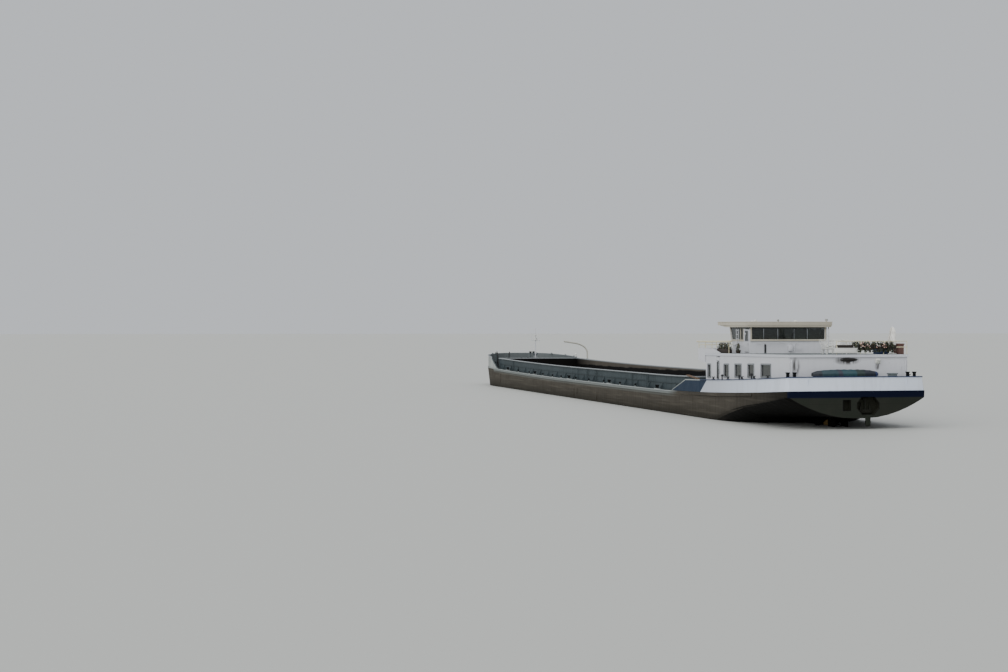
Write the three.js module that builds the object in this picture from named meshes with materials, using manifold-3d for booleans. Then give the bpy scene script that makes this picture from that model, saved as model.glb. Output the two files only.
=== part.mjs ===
// River barge: a self-propelled river cargo vessel with one long open hold,
// built as a 1:10 scale model. Everything is drawn in real metres, and the last
// group turns it into the model's millimetres.
// +X points forward, +Y to port, +Z up, with the origin under the middle of the flat bottom.
import * as THREE from 'three';
import * as BufferGeometryUtils from 'three/addons/utils/BufferGeometryUtils.js';
import Module from 'manifold-3d';

const wasm = await Module();
wasm.setup();

// Driving dimensions, real metres
const SCALE = 10;
const LENGTH = 85;
const HALF_BEAM = 4.75;
const DECK_HEIGHT = 2.7;
const BOW_SHEER = 0.43;
const STERN_SHEER = 0.7;
const HOLD_AFT = 17;
const HOLD_FORE = 76.5;
const HOLD_HALF_WIDTH = 4.05;
const HOLD_FLOOR = 0.5;
const COAMING_HEIGHT = 1.05;
const COAMING_PLATE = 0.1;
const BULWARK_HEIGHT = 0.8;
const BULWARK_PLATE = 0.08;
const HOUSE_AFT = 1.5;
const HOUSE_FORE = 15.8;
const HOUSE_HALF_WIDTH = 3.85;
const HOUSE_WALL = 0.12;
const BOAT_DECK_TOP = 5.44;
const BOAT_DECK_SLOPE = 0.007;
const BALCONY_FORE = 17.2;
const CABIN_AFT = 10.7;
const CABIN_FORE = 13.57;
const CABIN_HALF_WIDTH = 2.72;
const CABIN_WALL = 0.08;
const CABIN_SILL = 6.33;
const CABIN_HEAD = 7.2;
const CABIN_RAKE = 0.38;
const PROPELLER_RADIUS = 0.66;
const PROPELLER_S = 4.6;
const SHAFT_HEIGHT = 0.8;
const SEAT = 0.003;
const ON_DECK = 0.006;

// Finishes
const finish = (color, roughness, metalness = 0) => ({ color, roughness, metalness });
const HULL_GREY = finish(0x5c574f, 0.7, 0.2);
const HOLD_BLACK = finish(0x1c1a18, 0.9, 0.1);
const COAMING_BLUE = finish(0x5f6b72, 0.6, 0.2);
const BULWARK_WHITE = finish(0xc8cdd6, 0.5);
const NAVY = finish(0x1a2747, 0.5);
const HOUSE_WHITE = finish(0xbfc1c5, 0.5);
const ROOF_CREAM = finish(0xcdc8b9, 0.6);
const DECK_GREY = finish(0x4c5558, 0.8);
const GLASS = finish(0x26302e, 0.1);
const STEEL = finish(0x3a3b3c, 0.6, 0.6);
const BLACK_PAINT = finish(0x16181b, 0.6, 0.2);
const BRONZE = finish(0x9a7b44, 0.35, 0.9);
const TEAL = finish(0x1e5a6e, 0.8);
const FABRIC_WHITE = finish(0xd8d6d0, 0.9);
const LEATHER = finish(0x202225, 0.7);

// s is a distance forward of the stern; X turns it into the frame's x
const X = (s) => s - LENGTH / 2;

// Height of the deck edge: level amidships, rising to both ends
function sheer(s) {
  const fore = Math.max(0, (s - 45) / 40);
  const aft = Math.max(0, (25 - s) / 25);
  return DECK_HEIGHT + BOW_SHEER * fore * fore + STERN_SHEER * aft * aft;
}

// The boat deck climbs a little towards the stern
const boatDeck = (s) => BOAT_DECK_TOP + BOAT_DECK_SLOPE * (HOUSE_FORE - s);
const onBoatDeck = (s) => boatDeck(s) + SEAT;

const barge = new THREE.Group();

function add(name, geometry, look) {
  const mesh = new THREE.Mesh(geometry, new THREE.MeshStandardMaterial(look));
  mesh.name = name;
  barge.add(mesh);
  return mesh;
}

// Solids and cuts
function clean(geometry) {
  const bare = geometry.index ? geometry.toNonIndexed() : geometry.clone();
  bare.deleteAttribute('normal');
  bare.deleteAttribute('uv');
  return BufferGeometryUtils.mergeVertices(bare, 1e-5);
}

function solid(geometry) {
  const merged = clean(geometry);
  return new wasm.Manifold(new wasm.Mesh({
    numProp: 3,
    vertProperties: new Float32Array(merged.attributes.position.array),
    triVerts: new Uint32Array(merged.index.array),
  }));
}

function shapeOf(manifold) {
  const mesh = manifold.getMesh();
  const geometry = new THREE.BufferGeometry();
  geometry.setAttribute('position', new THREE.BufferAttribute(mesh.vertProperties, 3));
  geometry.setIndex(new THREE.BufferAttribute(mesh.triVerts, 1));
  return geometry;
}

const join = (...shapes) => shapeOf(shapes.map(solid).reduce((all, next) => all.add(next)));
const cut = (shape, ...tools) => shapeOf(tools.map(solid).reduce((left, tool) => left.subtract(tool), solid(shape)));

// A closed skin over equal rings of points. Point i of a ring stands opposite point n-1-i,
// and the end caps are strips between such pairs.
function loft(rings) {
  const count = rings[0].length;
  const positions = rings.flat(2);
  const index = [];
  const quad = (a, b, c, d) => index.push(a, b, c, a, c, d);
  for (let r = 0; r < rings.length - 1; r += 1) {
    for (let i = 0; i < count; i += 1) {
      const j = (i + 1) % count;
      quad(r * count + i, r * count + j, (r + 1) * count + j, (r + 1) * count + i);
    }
  }
  const last = (rings.length - 1) * count;
  for (let i = 0; i < count / 2 - 1; i += 1) {
    const far = count - 1 - i;
    quad(i, far, far - 1, i + 1);
    quad(last + i, last + i + 1, last + far - 1, last + far);
  }
  const geometry = new THREE.BufferGeometry();
  geometry.setAttribute('position', new THREE.Float32BufferAttribute(positions, 3));
  geometry.setIndex(index);
  return outward(geometry);
}

// Turns the faces out where a ring ran the other way round
function outward(geometry) {
  const p = geometry.attributes.position;
  const index = geometry.index.array;
  const [a, b, c] = [new THREE.Vector3(), new THREE.Vector3(), new THREE.Vector3()];
  let volume = 0;
  for (let i = 0; i < index.length; i += 3) {
    a.fromBufferAttribute(p, index[i]);
    b.fromBufferAttribute(p, index[i + 1]);
    c.fromBufferAttribute(p, index[i + 2]);
    volume += a.dot(b.cross(c));
  }
  if (volume < 0) {
    for (let i = 0; i < index.length; i += 3) {
      [index[i + 1], index[i + 2]] = [index[i + 2], index[i + 1]];
    }
  }
  return geometry;
}

// Plates cut from an outline: a side plate stands fore and aft, a cross plate athwartships,
// a flat plate lies level. Outlines and their holes are lists of [s, z], [y, z] or [s, y].
function slab(points, depth) {
  const shape = new THREE.Shape(points.map(([u, v]) => new THREE.Vector2(u, v)));
  return new THREE.ExtrudeGeometry(shape, { depth, bevelEnabled: false });
}

function extruded(points, holes, depth) {
  const plate = slab(points, depth);
  if (holes.length === 0) return plate;
  return cut(plate, ...holes.map((hole) => slab(hole, 3 * depth).translate(0, 0, -depth)));
}

function sidePlate(points, yLow, yHigh, holes = []) {
  const plate = extruded(points, holes, yHigh - yLow);
  plate.rotateX(Math.PI / 2);
  return plate.translate(-LENGTH / 2, yHigh, 0);
}

function crossPlate(points, sLow, sHigh, holes = []) {
  const plate = extruded(points, holes, sHigh - sLow);
  const toFrame = new THREE.Matrix4().makeBasis(
    new THREE.Vector3(0, 1, 0), new THREE.Vector3(0, 0, 1), new THREE.Vector3(1, 0, 0));
  plate.applyMatrix4(toFrame);
  return plate.translate(X(sLow), 0, 0);
}

function flatPlate(points, zLow, zHigh, holes = []) {
  return extruded(points, holes, zHigh - zLow).translate(-LENGTH / 2, 0, zLow);
}

const rectangle = (u0, u1, v0, v1) => [[u0, v0], [u1, v0], [u1, v1], [u0, v1]];

function block(s0, s1, y0, y1, z0, z1) {
  const box = new THREE.BoxGeometry(s1 - s0, y1 - y0, z1 - z0);
  return box.translate(X((s0 + s1) / 2), (y0 + y1) / 2, (z0 + z1) / 2);
}

// A round bar between two points given as [s, y, z]
function bar(from, to, radius, sides = 8) {
  const a = new THREE.Vector3(X(from[0]), from[1], from[2]);
  const b = new THREE.Vector3(X(to[0]), to[1], to[2]);
  const along = b.clone().sub(a);
  const cylinder = new THREE.CylinderGeometry(radius, radius, along.length(), sides);
  cylinder.applyQuaternion(new THREE.Quaternion().setFromUnitVectors(
    new THREE.Vector3(0, 1, 0), along.clone().normalize()));
  return cylinder.translate(...a.add(b).multiplyScalar(0.5).toArray());
}

const post = (s, y, zLow, zHigh, radius, sides = 10) => bar([s, y, zLow], [s, y, zHigh], radius, sides);

// Hull form. Each station is a slice: flat bottom out to a share of the half beam, then a
// rounded bilge, then a side that runs straight to the deck edge. bulge pushes the sides
// forward of the middle, which rounds the stern in plan. wide and deep shape the bilge.
const SLICE_STEPS = 9;
const AFT_STATIONS = [
  // s, lower half beam, deck half beam, keel, bilge top, flat share, wide, deep, bulge
  [0.0, 4.36, 4.36, 1.77, 3.02, 0.08, 2.0, 1.0, 0.35],
  [0.25, 4.54, 4.56, 1.76, 2.96, 0.08, 2.0, 1.0, 0.4],
  [0.8, 4.66, 4.68, 1.75, 2.86, 0.09, 2.0, 1.05, 0.5],
  [1.8, 4.74, 4.75, 1.73, 2.7, 0.1, 2.1, 1.15, 0.6],
  [3.5, 4.75, 4.75, 1.7, 2.5, 0.1, 2.6, 1.4, 0.7],
  [6.0, 4.75, 4.75, 1.5, 2.25, 0.12, 3.2, 1.7, 0.7],
  [9.0, 4.75, 4.75, 0.75, 1.8, 0.3, 3.4, 1.9, 0.4],
  [12.0, 4.75, 4.75, 0.15, 1.2, 0.55, 2.8, 2.0, 0.1],
  [14.5, 4.75, 4.75, 0.0, 0.75, 0.75, 2.2, 2.0, 0.0],
  [HOLD_AFT, HALF_BEAM, HALF_BEAM, 0.0, 0.45, 0.875, 2.0, 2.0, 0.0],
];
const FORE_STATIONS = [
  [HOLD_FORE, HALF_BEAM, HALF_BEAM, 0.0, 0.45, 0.875, 2.0, 2.0, 0.0],
  [78.3, 4.64, 4.71, 0.0, 0.65, 0.8, 2.0, 2.0, 0.0],
  [79.5, 4.46, 4.62, 0.02, 0.82, 0.7, 2.1, 2.0, 0.0],
  [80.6, 4.2, 4.48, 0.06, 1.02, 0.59, 2.2, 2.0, 0.0],
  [81.7, 3.8, 4.23, 0.17, 1.28, 0.48, 2.2, 1.9, 0.0],
  [82.6, 3.34, 3.91, 0.33, 1.53, 0.4, 2.2, 1.8, 0.0],
  [83.3, 2.88, 3.56, 0.56, 1.73, 0.34, 2.2, 1.7, 0.0],
  [83.85, 2.42, 3.17, 0.83, 1.92, 0.3, 2.2, 1.6, 0.0],
  [84.25, 2.02, 2.78, 1.08, 2.08, 0.27, 2.2, 1.5, 0.0],
  [84.6, 1.58, 2.28, 1.37, 2.27, 0.25, 2.2, 1.4, 0.0],
  [84.84, 1.14, 1.7, 1.59, 2.43, 0.22, 2.1, 1.3, 0.0],
  [LENGTH, 0.65, 1.0, 1.8, 2.6, 0.2, 2.0, 1.2, 0.0],
];

function slice(station, topAt = sheer) {
  const [s, low, deck, keel, bilgeTop, flat, wide, deep, bulge] = station;
  const bottom = [];
  const top = [];
  for (let i = -SLICE_STEPS; i <= SLICE_STEPS; i += 1) {
    const turn = Math.max(0, (Math.abs(i) - 1) / (SLICE_STEPS - 1)) * (Math.PI / 2);
    const out = Math.sign(i) * (flat + (1 - flat) * Math.sin(turn) ** (2 / wide));
    const drop = Math.abs(i) === SLICE_STEPS ? 0 : Math.cos(turn) ** (2 / deep);
    const here = s + bulge * out * out;
    bottom.push([X(here), low * out, bilgeTop - (bilgeTop - keel) * drop]);
    top.push([X(here), deck * out, topAt(here)]);
  }
  return bottom.concat(top.reverse());
}

// Stations along the hold where the sheer changes
const SIDE_STATIONS = [HOLD_AFT, 21, 25, 45, 53, 61, 69, HOLD_FORE];
const lengthwise = (stations, section) => loft(stations.map(
  (s) => section(s).map(([y, z]) => [X(s), y, z])));

// Fittings welded to the hull's deck
const onDeck = (s) => sheer(s) + ON_DECK;

// A bollard: two posts with heads on a foot plate, apart by along and across the vessel
function bollard(s, y, height, radius, along, across = 0) {
  const [aft, fore] = [s - along - 0.15, s + along + 0.15];
  const [inner, outer] = [y - Math.abs(across) - 0.13, y + Math.abs(across) + 0.13];
  const foot = Math.min(sheer(aft), sheer(fore)) - 0.05;
  const deck = Math.max(sheer(aft), sheer(fore));
  return join(
    block(aft, fore, inner, outer, foot, deck + 0.05),
    ...[-1, 1].flatMap((end) => [
      post(s + end * along, y + end * across, deck, deck + height, radius, 10),
      post(s + end * along, y + end * across, deck + height - 0.07, deck + height, radius + 0.035, 10),
    ]),
  );
}
const SIDE_BOLLARDS = [24, 36, 48, 60, 71];
const BOW_BOLLARD = { s: 79.6, y: 3.9 };
const STERN_BOLLARD = { s: 1.12, y: 3.9, height: 1.15, across: 0.22 };

// Swan-neck vent pipes just ahead of the hold
const VENTS = [
  // s, y, height, lean forward
  [77.3, 4.35, 1.62, 0.12],
  [77.3, -4.35, 1.2, 0.12],
];
const ventPipe = ([s, y, height, lean]) => join(
  post(s, y, sheer(s) - 0.05, sheer(s) + height - 0.3, 0.07, 10),
  bar([s, y, sheer(s) + height - 0.32], [s + lean, y, sheer(s) + height], 0.05, 8),
);

// Foredeck hatch: a coaming round an opening into the fore peak
const HATCH = { s0: 82.1, s1: 83.0, half: 0.45, height: 0.4, plate: 0.08, lid: 0.06, depth: 1.2 };
const hatchTop = sheer(HATCH.s1) + HATCH.height;

// Rubbing strake along the side, just under the deck edge
const STRAKE = { out: 0.06, high: 0.2, drop: 0.06, root: 0.1 };
const strake = (stations, side) => lengthwise(stations, (s) => {
  const top = sheer(s) - STRAKE.drop;
  return [
    [side * (HALF_BEAM - STRAKE.root), top - STRAKE.high],
    [side * (HALF_BEAM + STRAKE.out), top - STRAKE.high + 0.04],
    [side * (HALF_BEAM + STRAKE.out), top - 0.04], [side * (HALF_BEAM - STRAKE.root), top],
  ];
});

// The stern anchor's pocket sits a little to starboard, with a smaller recess beside it
const ANCHOR_POCKET = { y: -0.56, low: 1.93, high: 3.07, depth: 0.55 };
const pocketOutline = [
  [-0.4, ANCHOR_POCKET.low], [0.4, ANCHOR_POCKET.low], [0.75, 2.35],
  [0.75, 2.68], [0.45, ANCHOR_POCKET.high], [-0.45, ANCHOR_POCKET.high], [-0.75, 2.68], [-0.75, 2.35],
].map(([y, z]) => [y + ANCHOR_POCKET.y, z]);
const recessOutline = rectangle(0.56, 1.07, 2.21, 2.87);
const ENGINE_SPACE = { s0: 10.2, s1: 15.2, halfWidth: 1.9, floor: 0.8 };
const BOW_POCKET = { s0: 80.9, s1: 82.3, yIn: 3.3, low: 1.75, high: 2.65 };

const bothSides = (make) => [1, -1].map(make);
add('hull_aft', cut(
  join(
    loft(AFT_STATIONS.map((station) => slice(station))),
    ...bothSides((side) => strake([5.2, 9.4, 12.1, HOLD_AFT], side)),
    ...bothSides((side) => bollard(
      STERN_BOLLARD.s, side * STERN_BOLLARD.y, STERN_BOLLARD.height, 0.1, 0, STERN_BOLLARD.across)),
  ),
  crossPlate(pocketOutline, -0.2, ANCHOR_POCKET.depth),
  crossPlate(recessOutline, -0.2, 0.4),
  block(ENGINE_SPACE.s0, ENGINE_SPACE.s1, -ENGINE_SPACE.halfWidth, ENGINE_SPACE.halfWidth, ENGINE_SPACE.floor, 4),
), HULL_GREY);

const innerHatch = HATCH.half - HATCH.plate;
add('hull_fore', cut(
  join(
    loft(FORE_STATIONS.map((station) => slice(station))),
    ...bothSides((side) => bollard(BOW_BOLLARD.s, side * BOW_BOLLARD.y, 0.55, 0.11, 0.22)),
    ...VENTS.map(ventPipe),
    block(HATCH.s0, HATCH.s1, -HATCH.half, HATCH.half, sheer(HATCH.s0) - 0.1, hatchTop),
  ),
  block(HATCH.s0 + HATCH.plate, HATCH.s1 - HATCH.plate, -innerHatch, innerHatch, hatchTop - HATCH.depth, 5),
  ...bothSides((side) => {
    const [y0, y1] = side > 0 ? [BOW_POCKET.yIn, 5] : [-5, -BOW_POCKET.yIn];
    return block(BOW_POCKET.s0, BOW_POCKET.s1, y0, y1, BOW_POCKET.low, BOW_POCKET.high);
  }),
), HULL_GREY);

// Double bottom under the hold, between the side tanks, which reach down round the bilge
add('hull_double_bottom', block(
  HOLD_AFT, HOLD_FORE, SEAT - HOLD_HALF_WIDTH, HOLD_HALF_WIDTH - SEAT, 0, HOLD_FLOOR), HULL_GREY);

const bilge = slice(FORE_STATIONS[0]).slice(SLICE_STEPS + 1, 2 * SLICE_STEPS + 1).map(([, y, z]) => [y, z]);
for (const [name, side] of [['port', 1], ['starboard', -1]]) {
  add(`hull_wing_${name}`, join(
    lengthwise(SIDE_STATIONS, (s) => {
      const bottom = [[HOLD_HALF_WIDTH, 0], ...bilge];
      const deck = bottom.map(([y]) => [y, sheer(s)]).reverse();
      return [...bottom, ...deck].map(([y, z]) => [side * y, z]);
    }),
    strake(SIDE_STATIONS, side),
    ...SIDE_BOLLARDS.map((s) => bollard(s, side * 4.6, 0.3, 0.06, 0.18)),
  ), HULL_GREY);
}

// Hold coamings: a plate with a flange on top and low brackets at its foot on the side deck
const FLANGE = { out: 0.12, thick: 0.06 };
const BRACKET = { pitch: 2.95, reach: 0.28, high: 0.42, thick: 0.05 };
const coamingOut = HOLD_HALF_WIDTH + COAMING_PLATE;
const coamingEnds = [HOLD_AFT + COAMING_PLATE, ...SIDE_STATIONS.slice(1, -1), HOLD_FORE - COAMING_PLATE];

function bracket(s, side) {
  const foot = sheer(s) + ON_DECK;
  const head = foot + BRACKET.high;
  const gusset = crossPlate([
    [coamingOut - 0.02, foot], [coamingOut + BRACKET.reach, foot],
    [coamingOut + 0.03, head], [coamingOut - 0.02, head],
  ], s, s + BRACKET.thick);
  return side > 0 ? gusset : gusset.applyMatrix4(new THREE.Matrix4().makeRotationZ(Math.PI))
    .translate(2 * X(s) + BRACKET.thick, 0, 0);
}

// Hose davit: a swan-necked post that slews in a socket welded to the starboard coaming
const DAVIT = { s: 73.2, y: -4.37, socket: 0.5, sleeve: 0.12, radius: 0.075, top: 5.75, reach: 2.5, bend: 1.2 };
const davitFoot = sheer(DAVIT.s) + COAMING_HEIGHT - DAVIT.socket;
const davitSocket = () => post(DAVIT.s, DAVIT.y, davitFoot, davitFoot + DAVIT.socket + 0.04, DAVIT.sleeve, 12);

for (const [name, side] of [['port', 1], ['starboard', -1]]) {
  const plate = lengthwise(coamingEnds, (s) => [
    [side * HOLD_HALF_WIDTH, sheer(s) + SEAT], [side * coamingOut, sheer(s) + SEAT],
    [side * coamingOut, sheer(s) + COAMING_HEIGHT], [side * HOLD_HALF_WIDTH, sheer(s) + COAMING_HEIGHT],
  ]);
  const flange = lengthwise(coamingEnds, (s) => [
    [side * (coamingOut - 0.05), sheer(s) + COAMING_HEIGHT - FLANGE.thick],
    [side * (coamingOut + FLANGE.out), sheer(s) + COAMING_HEIGHT - FLANGE.thick],
    [side * (coamingOut + FLANGE.out), sheer(s) + COAMING_HEIGHT],
    [side * (coamingOut - 0.05), sheer(s) + COAMING_HEIGHT],
  ]);
  const brackets = [];
  for (let s = HOLD_AFT + 4; s < HOLD_FORE - 1; s += BRACKET.pitch) brackets.push(bracket(s, side));
  const socket = side < 0 ? [davitSocket()] : [];
  add(`coaming_${name}`, join(plate, flange, ...brackets, ...socket), COAMING_BLUE);
}

// The end coamings stand on the fore and aft blocks, with a lip down the hold's end
function endCoaming(s0, bearingAft, bearingFore) {
  const s1 = s0 + COAMING_PLATE;
  const onSteel = Math.max(sheer(s0 - bearingAft), sheer(s1 + bearingFore));
  const top = onSteel + COAMING_HEIGHT;
  const between = HOLD_HALF_WIDTH - SEAT;
  return join(
    block(s0 + SEAT, s1 - SEAT, -between, between, onSteel - 0.5, top),
    block(s0 + SEAT - bearingAft, s1 - SEAT + bearingFore, -coamingOut, coamingOut, onSteel + ON_DECK, top),
  );
}
add('coaming_aft', endCoaming(HOLD_AFT, 0.15, 0), COAMING_BLUE);
add('coaming_fore', endCoaming(HOLD_FORE - COAMING_PLATE, 0, 0.15), COAMING_BLUE);

// A bulwark stands on a plan line of [s, y] points that runs with the deck on its left hand.
// Its height and its lean, in metres inward a metre up, may change along it.
function bulwark(line, { height, lean, inset, plate }) {
  const rings = line.map(([s, y], i) => {
    const before = line[Math.max(0, i - 1)];
    const after = line[Math.min(line.length - 1, i + 1)];
    const along = new THREE.Vector2(after[0] - before[0], after[1] - before[1]).normalize();
    const inward = new THREE.Vector2(-along.y, along.x);
    const at = (offset) => [s + inward.x * offset, y + inward.y * offset];
    const top = height(s, y);
    const over = inset + lean(s) * top;
    const [outLow, inLow] = [at(inset), at(inset + plate)];
    const [outHigh, inHigh] = [at(over), at(over + plate)];
    const foot = Math.max(sheer(outLow[0]), sheer(inLow[0])) + ON_DECK;
    return [
      [X(outLow[0]), outLow[1], foot], [X(outHigh[0]), outHigh[1], foot + top],
      [X(inHigh[0]), inHigh[1], foot + top], [X(inLow[0]), inLow[1], foot],
    ];
  });
  return rings;
}

// Stern bulwark: from the wings round the stern, leaning in a little over the transom
const sternLean = (s) => 0.15 * Math.min(1, Math.max(0, (6 - s) / 5));
const WING = { foreLow: 20.35, foreHigh: 17.6, aftLow: 14.6 };
const portStern = [[WING.aftLow, HALF_BEAM], [12.1, 4.75], [9.4, 4.75], [6.7, 4.75], [4.2, 4.75], [2.4, 4.75],
  [1.3, 4.68], [0.65, 4.56], [0.35, 4.36], [0.22, 3.5], [0.1, 2.4], [0.03, 1.2]];
const acrossMiddle = (line) => line.map(([s, y]) => [s, -y]);
const sternLine = [...portStern, [0, 0], ...acrossMiddle(portStern).reverse()];
const sternRings = bulwark(sternLine, {
  height: () => BULWARK_HEIGHT, lean: sternLean, inset: 0.04, plate: BULWARK_PLATE,
});

// Cap rail on the bulwark's top edge
const CAP = { over: 0.05, thick: 0.05 };
function capOver(rings) {
  return rings.map(([, outHigh, inHigh]) => {
    const across = new THREE.Vector2(inHigh[0] - outHigh[0], inHigh[1] - outHigh[1]).normalize();
    const low = outHigh[2] + 2 * SEAT;
    const outer = [outHigh[0] - across.x * CAP.over, outHigh[1] - across.y * CAP.over];
    const inner = [inHigh[0] + across.x * CAP.over, inHigh[1] + across.y * CAP.over];
    return [[...outer, low], [...outer, low + CAP.thick], [...inner, low + CAP.thick], [...inner, low]];
  });
}
add('stern_cap_rail', loft(capOver(sternRings)), NAVY);

// Wings that carry the stern bulwark forward and slope down to the side deck
const wingRoot = WING.aftLow - 0.3;
const wingRise = BULWARK_HEIGHT - 0.01;
const wingOutline = [
  [wingRoot, onDeck(wingRoot)], [HOLD_AFT, onDeck(HOLD_AFT)],
  [WING.foreLow, onDeck(WING.foreLow)], [WING.foreLow - 0.1, onDeck(WING.foreLow) + 0.08],
  [WING.foreHigh, onDeck(WING.foreHigh) + wingRise],
  [wingRoot, onDeck(wingRoot) + wingRise],
];
const wingFaces = [HALF_BEAM - 0.11, HALF_BEAM - 0.05];
add('stern_bulwark', join(
  loft(sternRings),
  sidePlate(wingOutline, wingFaces[0], wingFaces[1]), sidePlate(wingOutline, -wingFaces[1], -wingFaces[0]),
), BULWARK_WHITE);

// Bow bulwark: higher at the stem, its aft ends sloping down to the side deck
const BOW_BULWARK = { stem: 1.25, shoulder: 1.05, aftEnd: 75.4, fullFrom: 78.2 };
function bowHeight(s) {
  const climb = (s - BOW_BULWARK.aftEnd) / (BOW_BULWARK.fullFrom - BOW_BULWARK.aftEnd);
  const along = Math.max(0, (s - BOW_BULWARK.fullFrom) / (LENGTH - BOW_BULWARK.fullFrom));
  return Math.max(0.06, BOW_BULWARK.shoulder * Math.min(1, climb)
    + (BOW_BULWARK.stem - BOW_BULWARK.shoulder) * along);
}
const bowPort = [[BOW_BULWARK.aftEnd, HALF_BEAM], ...FORE_STATIONS.map(([s, , deck]) => [s, deck])];
const bowLine = [...acrossMiddle(bowPort), ...bowPort.toReversed()];
add('bow_bulwark', loft(bulwark(bowLine, {
  height: bowHeight, lean: () => 0, inset: 0.05, plate: BULWARK_PLATE,
})), COAMING_BLUE);

// Deckhouse floor, over the deck and the engine space, with the engine room hatch
const inside = HOUSE_HALF_WIDTH - HOUSE_WALL - SEAT;
const floorStations = [HOUSE_AFT + HOUSE_WALL + SEAT, 3.6, 5, 7, 9.4, 12.1, HOUSE_FORE - HOUSE_WALL - SEAT];
add('deckhouse_floor', cut(
  lengthwise(floorStations, (s) => [
    [-inside, sheer(s) + ON_DECK], [inside, sheer(s) + ON_DECK],
    [inside, sheer(s) + 0.06], [-inside, sheer(s) + 0.06],
  ]),
  block(10.5, 11.4, 0.4, 1.3, 2, 4),
), DECK_GREY);

add('engine_block', join(
  block(11.0, 14.2, -0.7, 0.7, ENGINE_SPACE.floor + SEAT, 2.2),
  block(10.4, 11.1, -0.4, 0.4, ENGINE_SPACE.floor + SEAT, 1.5),
), STEEL);

// Deckhouse walls. Windows and doorways on each side, as distances forward of the stern
// The window row climbs towards the stern more than the boat deck does
const HOUSE_SILL = { fore: 3.81, slope: 0.027 };
const HOUSE_HEAD = { fore: 4.68, slope: 0.02 };
const SIDE_WINDOWS = [
  // aft edge, fore edge
  [4.35, 5.95],
  [7.1, 8.15],
  [9.25, 10.4],
  [11.5, 12.4],
  [14.85, 15.45],
];
const HOUSE_DOOR = { aft: 13.12, fore: 13.82, sill: 3.2, head: 5.24 };
const onLine = ({ fore, slope }, s) => fore + slope * (HOUSE_FORE - s);
const wallTop = (s) => boatDeck(s) - 0.16 - SEAT;
const wallFoot = (s) => sheer(s) + ON_DECK;

function windowHole([s0, s1]) {
  return [[s0, onLine(HOUSE_SILL, s0)], [s1, onLine(HOUSE_SILL, s1)],
    [s1, onLine(HOUSE_HEAD, s1)], [s0, onLine(HOUSE_HEAD, s0)]];
}

const houseOutline = [
  ...[HOUSE_AFT, 3.6, 5, 7, 9.4, 12.1, HOUSE_FORE].map((s) => [s, wallFoot(s)]),
  [HOUSE_FORE, wallTop(HOUSE_FORE)], [HOUSE_AFT, wallTop(HOUSE_AFT)],
];
const houseHoles = [
  ...SIDE_WINDOWS.map(windowHole),
  rectangle(HOUSE_DOOR.aft, HOUSE_DOOR.fore, HOUSE_DOOR.sill, HOUSE_DOOR.head),
];
const FORE_WINDOWS = [[-3.2, -2.0], [-1.5, -0.3], [0.3, 1.5], [2.0, 3.2]];
const betweenWalls = HOUSE_HALF_WIDTH - HOUSE_WALL - SEAT;

function endWall(s0, s1, windows = []) {
  const foot = Math.max(wallFoot(s0), wallFoot(s1));
  const top = Math.min(wallTop(s0), wallTop(s1));
  return crossPlate(rectangle(-betweenWalls, betweenWalls, foot, top), s0, s1, windows.map(
    ([y0, y1]) => rectangle(y0, y1, HOUSE_SILL.fore, HOUSE_HEAD.fore)));
}

add('deckhouse_wall_port', sidePlate(houseOutline, HOUSE_HALF_WIDTH - HOUSE_WALL, HOUSE_HALF_WIDTH, houseHoles),
  HOUSE_WHITE);
add('deckhouse_wall_starboard', sidePlate(houseOutline, -HOUSE_HALF_WIDTH, HOUSE_WALL - HOUSE_HALF_WIDTH,
  houseHoles), HOUSE_WHITE);
add('deckhouse_wall_aft', endWall(HOUSE_AFT, HOUSE_AFT + HOUSE_WALL), HOUSE_WHITE);
add('deckhouse_wall_fore', endWall(HOUSE_FORE - HOUSE_WALL, HOUSE_FORE, FORE_WINDOWS), HOUSE_WHITE);

// A side door: a leaf that stands a little proud of the wall, with a window opening and two
// hinge knuckles on its fore edge, outside the wall
const DOOR = { gap: 0.05, thick: 0.05, proud: 0.01, knuckle: 0.017, strap: 0.2 };
function doorLeaf(door, face, side, window) {
  const [s0, s1] = [door.aft + DOOR.gap, door.fore - DOOR.gap];
  const [z0, z1] = [door.sill + DOOR.gap, door.head - DOOR.gap];
  const outer = face + DOOR.proud;
  const [hingeS, hingeY] = [door.fore + 0.02, face + DOOR.knuckle + SEAT];
  const leaf = sidePlate(rectangle(s0, s1, z0, z1), outer - DOOR.thick, outer, [window]);
  const hinges = [z0 + 0.25, z1 - 0.35].flatMap((z) => [
    post(hingeS, hingeY, z, z + 0.12, DOOR.knuckle, 8),
    block(s1 - DOOR.strap, hingeS, face + SEAT, hingeY + 0.01, z + 0.02, z + 0.1),
  ]);
  const portLeaf = join(leaf, ...hinges);
  return side > 0 ? portLeaf : outward(portLeaf.scale(1, -1, 1));
}
for (const [name, side] of [['port', 1], ['starboard', -1]]) {
  add(`deckhouse_door_${name}`, doorLeaf(HOUSE_DOOR, HOUSE_HALF_WIDTH, side,
    rectangle(13.27, 13.67, 3.75, 4.95)), HOUSE_WHITE);
}

// Boat deck, the deckhouse's roof, with a low parapet along its fore part and the balcony ahead
const ROOF = { aft: 1.4, fore: HOUSE_FORE + 0.05, halfWidth: 3.9, thick: 0.16 };
add('boat_deck', sidePlate([
  [ROOF.aft, boatDeck(ROOF.aft) - ROOF.thick], [ROOF.fore, boatDeck(ROOF.fore) - ROOF.thick],
  [ROOF.fore, boatDeck(ROOF.fore)], [ROOF.aft, boatDeck(ROOF.aft)],
], -ROOF.halfWidth, ROOF.halfWidth), DECK_GREY);

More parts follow.
